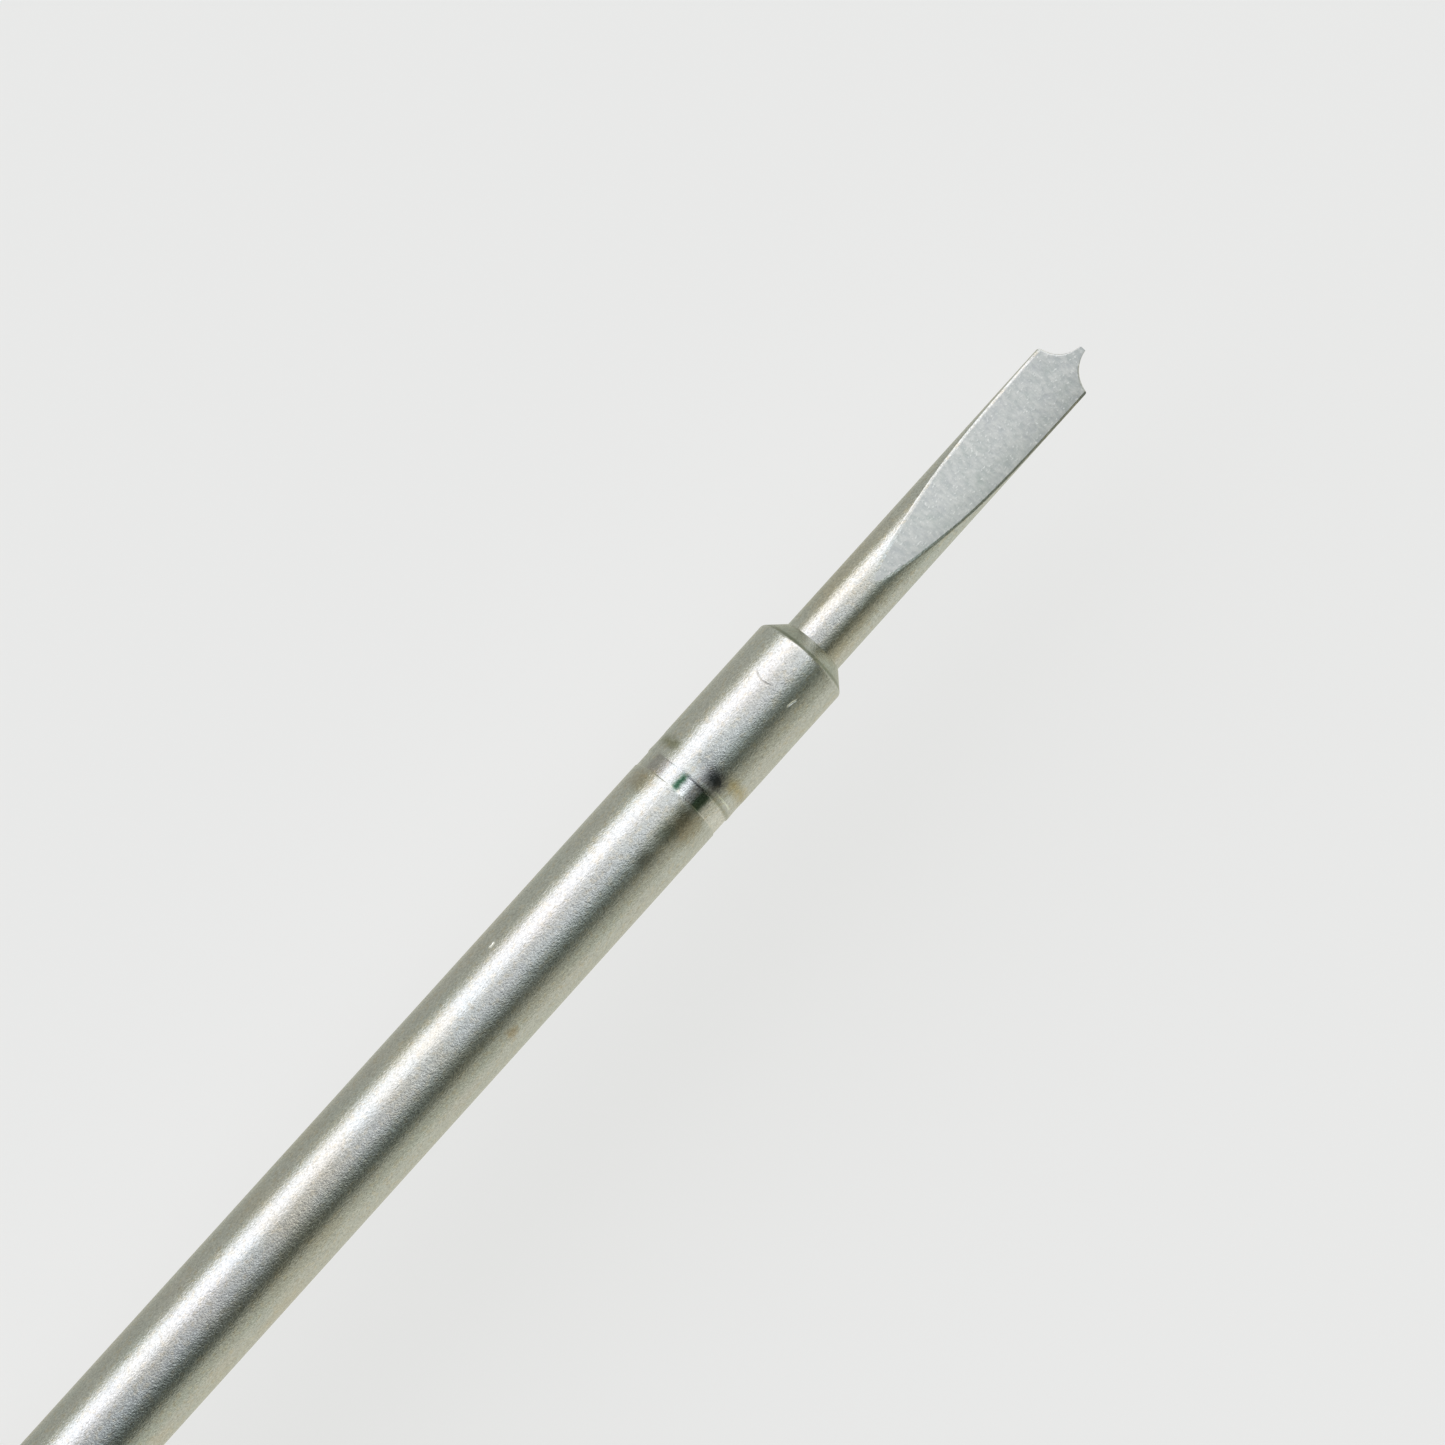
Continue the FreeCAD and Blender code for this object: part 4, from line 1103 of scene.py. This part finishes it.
def make_head():
    """The silver shell of the swivel head, knurled between two plain rims."""
    mouth = (HEAD_FRONT, HEAD_MOUTH_R)
    shoulder_rear = (HEAD_SHOULDER[1], HEAD_R)
    outline = rounded([
        (HEAD_FRONT, HEAD_NECK_HOLE_R, 0.06),
        mouth,
        *arc(mouth, (HEAD_SHOULDER[0], HEAD_SHOULDER_R), shoulder_rear),
        shoulder_rear,
        (KNURL[0] - 2 * HEAD_STEP_WIDTH, HEAD_R),
        (KNURL[0] - HEAD_STEP_WIDTH, HEAD_STEP_R), (KNURL[0], HEAD_STEP_R, 0.02),
        (KNURL[0], KNURL_R, 0.02), (KNURL[1], KNURL_R, 0.02),
        (KNURL[1], HEAD_STEP_R, 0.02), (KNURL[1] + HEAD_STEP_WIDTH, HEAD_STEP_R),
        (KNURL[1] + 2 * HEAD_STEP_WIDTH, HEAD_R), (HEAD_REAR, HEAD_R, HEAD_RIM_ROUND),
        (HEAD_REAR, DISC_SEAT_R + EDGE), (HEAD_REAR - EDGE, DISC_SEAT_R),
        (DISC_FRONT - 0.01, DISC_SEAT_R, 0), (DISC_FRONT - 0.01, CAVITY_R, 0),
        (CAVITY_FRONT, CAVITY_R, 0), (CAVITY_FRONT, BEARING_SEAT_R, 0),
        *reversed(notch(RETAINER_GROOVE, BEARING_SEAT_R, RETAINER_GROOVE_R)),
        (HEAD_FRONT + HEAD_WALL, BEARING_SEAT_R, 0),
        (HEAD_FRONT + HEAD_WALL, HEAD_NECK_HOLE_R, 0),
    ], 0.05, steps=5)
    at_angle, angles = fluted(outline, KNURL, HEAD_FLUTES, KNURL_R, HEAD_FLUTE_DEPTH, HEAD_FLUTE_R)
    turned_piece(
        "knurled_head", at_angle, "swivel_head", "head_shell", HEAD_SILVER, angles)


def make_disc():
    """The dished disc that the fingertip rests on."""
    groove_half = (DISC_SEAT_R - SEAL_GROOVE_R) / 2 + 0.01
    rim_drop = DISH_RADIUS - math.sqrt(DISH_RADIUS ** 2 - DISH_MOUTH_R ** 2)
    dish = []
    for k in range(32):
        r = DISH_MOUTH_R * (1 - k / 32)
        dish.append((DISC_REAR - rim_drop + DISH_RADIUS - math.sqrt(DISH_RADIUS ** 2 - r * r), r))
    outline = rounded([
        (DISC_FRONT, 0), (DISC_FRONT, DISC_R - EDGE),
        (DISC_FRONT + EDGE, DISC_R),
        *notch((SEAL_X - groove_half, SEAL_X + groove_half), DISC_R, SEAL_GROOVE_R),
        (DISC_REAR - EDGE, DISC_R), (DISC_REAR, DISC_R - EDGE),
        *dish,
        (DISC_REAR - rim_drop, 0),
    ], 0.05, loop=False)
    turned_piece("dished_disc", outline, "swivel_head", "finger_disc", SIZE_VIOLET)


make_collar()
make_set_screw("set_screw_front", "socket_screw_front")
make_set_screw("set_screw_rear", "socket_screw_rear")
make_core()
make_sleeve()
make_rings()
make_size_ring()
make_head()
make_disc()


# --- stage ---

PALE = (0.785, 0.785, 0.78)
FLOOR_GLOW = (0.655, 0.655, 0.648)
FLOOR_COLOUR = (0.20, 0.20, 0.20)
FLOOR_SEEN_LEFT = ((0.39, 0.395, 0.315), (0.345, 0.345, 0.27))
FLOOR_SEEN_RIGHT = ((0.62, 0.62, 0.505), (0.65, 0.63, 0.50))
FLOOR_FADE = 6.0
FLOOR_REAR = 30.0
FLOOR_GAP = 0.01
FLOOR_HALF_WIDTH = 1500.0


def stage_object(name, corners, material):
    """A flat sheet of the stage, from its four corners in metres."""
    mesh = bmesh.new()
    mesh.faces.new([mesh.verts.new(corner) for corner in corners])
    made = mesh_object(name, mesh)
    made.data.materials.append(material)


def make_floor():
    """A pale sheet, lit mostly from within like the table of a light tent. The metal reflects it
    a little warmer, and darker on the softbox's side."""
    material, tree, shader = new_material("pale_sheet", 0.0)
    shader.inputs["Base Color"].default_value = (*FLOOR_COLOUR, 1)
    shader.inputs["Roughness"].default_value = 0.9
    shader.inputs["Specular IOR Level"].default_value = 0.1
    x, y, _ = coordinates(tree)
    side = between(tree, y, 0.0, 1.0, -FLOOR_FADE, FLOOR_FADE)
    rearward = between(tree, x, 0.0, 1.0, 0.0, FLOOR_REAR)
    left = blend(tree, rearward, *FLOOR_SEEN_LEFT)
    right = blend(tree, rearward, *FLOOR_SEEN_RIGHT)
    reflected = blend(tree, side, left, right)
    glossy = add_node(tree, "LightPath").outputs["Is Glossy Ray"]
    tree.links.new(blend(tree, glossy, FLOOR_GLOW, reflected), shader.inputs["Emission Color"])
    shader.inputs["Emission Strength"].default_value = 1.0
    low = cad_bounds[0].z - FLOOR_GAP * MM
    half = FLOOR_HALF_WIDTH * MM
    corners = [(-half, -half, low), (half, -half, low), (half, half, low), (-half, half, low)]
    stage_object("pale_floor", corners, material)


# The light round the tool, by the angle in degrees from the viewing direction towards +Y: a
# softbox on one side, an even fill overhead and a dark screen on the other side. Each row ends
# with the share of the light that is left towards the swivel head.
LIGHT_ZONES = [
    (-90, (0.46, 0.46, 0.37), 1.0),
    (-77, (0.62, 0.62, 0.49), 1.0),
    (-68, (1.30, 1.28, 1.12), 1.0),
    (-62, (1.98, 1.95, 2.00), 1.0),
    (-38, (1.92, 1.89, 1.94), 1.0),
    (-27, (1.40, 1.38, 1.34), 0.50),
    (-14, (1.19, 1.22, 1.20), 0.32),
    (1, (1.40, 1.44, 1.49), 0.32),
    (12, (0.90, 0.97, 0.95), 0.18),
    (26, (0.43, 0.49, 0.44), 0.17),
    (41, (0.175, 0.195, 0.155), 0.26),
    (53, (0.205, 0.215, 0.16), 0.76),
    (65, (0.42, 0.415, 0.325), 1.42),
    (79, (0.49, 0.485, 0.375), 1.48),
    (90, (0.54, 0.54, 0.42), 1.30),
]
LIGHT_SCALE = 2.0
REAR_TINT = (0.97, 1.0, 1.05)


def zone_ramp(tree, place, rear):
    """A ramp over the light's zones, at their full light or at the share towards the head, which
    is a little bluer."""
    ramp = add_node(tree, "ValToRGB", {"Fac": place})
    elements = ramp.color_ramp.elements
    while len(elements) < len(LIGHT_ZONES):
        elements.new(0.5)
    for element, (angle, colour, share) in zip(elements, LIGHT_ZONES):
        element.position = (angle + 90) / 180
        level = [share * tint for tint in REAR_TINT] if rear else [1.0] * 3
        element.color = (*(c * part / LIGHT_SCALE for c, part in zip(colour, level)), 1)
    return ramp.outputs["Color"]


def make_world():
    """The studio's light, as bands that run along the tool. The camera itself sees only a pale
    room."""
    world = bpy.data.worlds.new("studio_light")
    bpy.context.scene.world = world
    world.use_nodes = True
    tree = world.node_tree
    tree.nodes.clear()
    direction = add_node(tree, "TexCoord").outputs["Generated"]
    x, y, z = add_node(tree, "SeparateXYZ", {0: direction}).outputs
    angle = math_node(tree, "SUBTRACT", math_node(tree, "ARCTAN2", y, z), VIEW_ANGLE)
    place = between(tree, angle, 0.0, 1.0, -math.pi / 2, math.pi / 2)
    towards_head = between(tree, x, 0.0, 1.0, -0.15, -0.05)
    light = blend(tree, towards_head, zone_ramp(tree, place, False), zone_ramp(tree, place, True))
    room = add_node(tree, "Background", {"Color": (*PALE, 1), "Strength": 1.0})
    bands = add_node(tree, "Background", {"Color": light, "Strength": LIGHT_SCALE})
    seen = add_node(tree, "LightPath").outputs["Is Camera Ray"]
    mixed = add_node(tree, "MixShader", {0: seen, 1: bands.outputs[0], 2: room.outputs[0]})
    add_node(tree, "OutputWorld", {"Surface": mixed.outputs[0]})


make_floor()
make_world()


# --- camera ---

CAMERA_DISTANCE = 0.181
CAMERA_TARGET = Vector((12.64, -0.388, 0)) * MM
CAMERA_LENS = 189.3
AXIS_TILT = math.radians(9.1)
AXIS_SLOPE = math.radians(47.894)


def make_camera():
    """Looks down on the front of the tool, which points up to the right and a little away."""
    camera = bpy.data.cameras.new("camera")
    camera.sensor_width = 36.0
    camera.lens = CAMERA_LENS
    camera.clip_start = 0.01
    camera.clip_end = 10.0
    made = add_object("camera", camera)
    towards = Vector((
        math.sin(AXIS_TILT),
        math.cos(AXIS_TILT) * math.sin(VIEW_ANGLE),
        math.cos(AXIS_TILT) * math.cos(VIEW_ANGLE)))
    forward = Vector((-1, 0, 0))
    forward = (forward - forward.dot(towards) * towards).normalized()
    left = towards.cross(forward)
    right = math.cos(AXIS_SLOPE) * forward - math.sin(AXIS_SLOPE) * left
    up = math.sin(AXIS_SLOPE) * forward + math.cos(AXIS_SLOPE) * left
    made.location = CAMERA_TARGET + towards * CAMERA_DISTANCE
    made.rotation_mode = "QUATERNION"
    made.rotation_quaternion = Matrix((right, up, towards)).transposed().to_quaternion()
    bpy.context.scene.camera = made


make_camera()
bpy.context.scene.view_settings.view_transform = "Standard"

NODE_MATERIALS = [
    (GROUND_METAL, "blade"),
    (SHANK_METAL, "shank"),
    (COLLAR_METAL, "chuck_collar", "handle_core"),
    (BLACK_OXIDE, "set_screw_front", "set_screw_rear", "pivot_screw"),
    (GRIP_BLACK, "grip_sleeve"),
    (BLACK_RUBBER, "grip_rings", "disc_seal"),
    (SIZE_VIOLET, "colour_ring", "finger_disc"),
    (BEARING_STEEL, "bearing_spacer", "bearing_inner_ring", "bearing_outer_ring", "bearing_balls"),
    (BEARING_STEEL, "bearing_shield_front", "bearing_shield_rear"),
    (CAGE_BRASS, "bearing_cage"),
    (SPRING_STEEL, "bearing_retainer"),
    (HEAD_SILVER, "head_shell"),
]
for material, *nodes in NODE_MATERIALS:
    for node in nodes:
        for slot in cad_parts[node].material_slots:
            slot.material = material
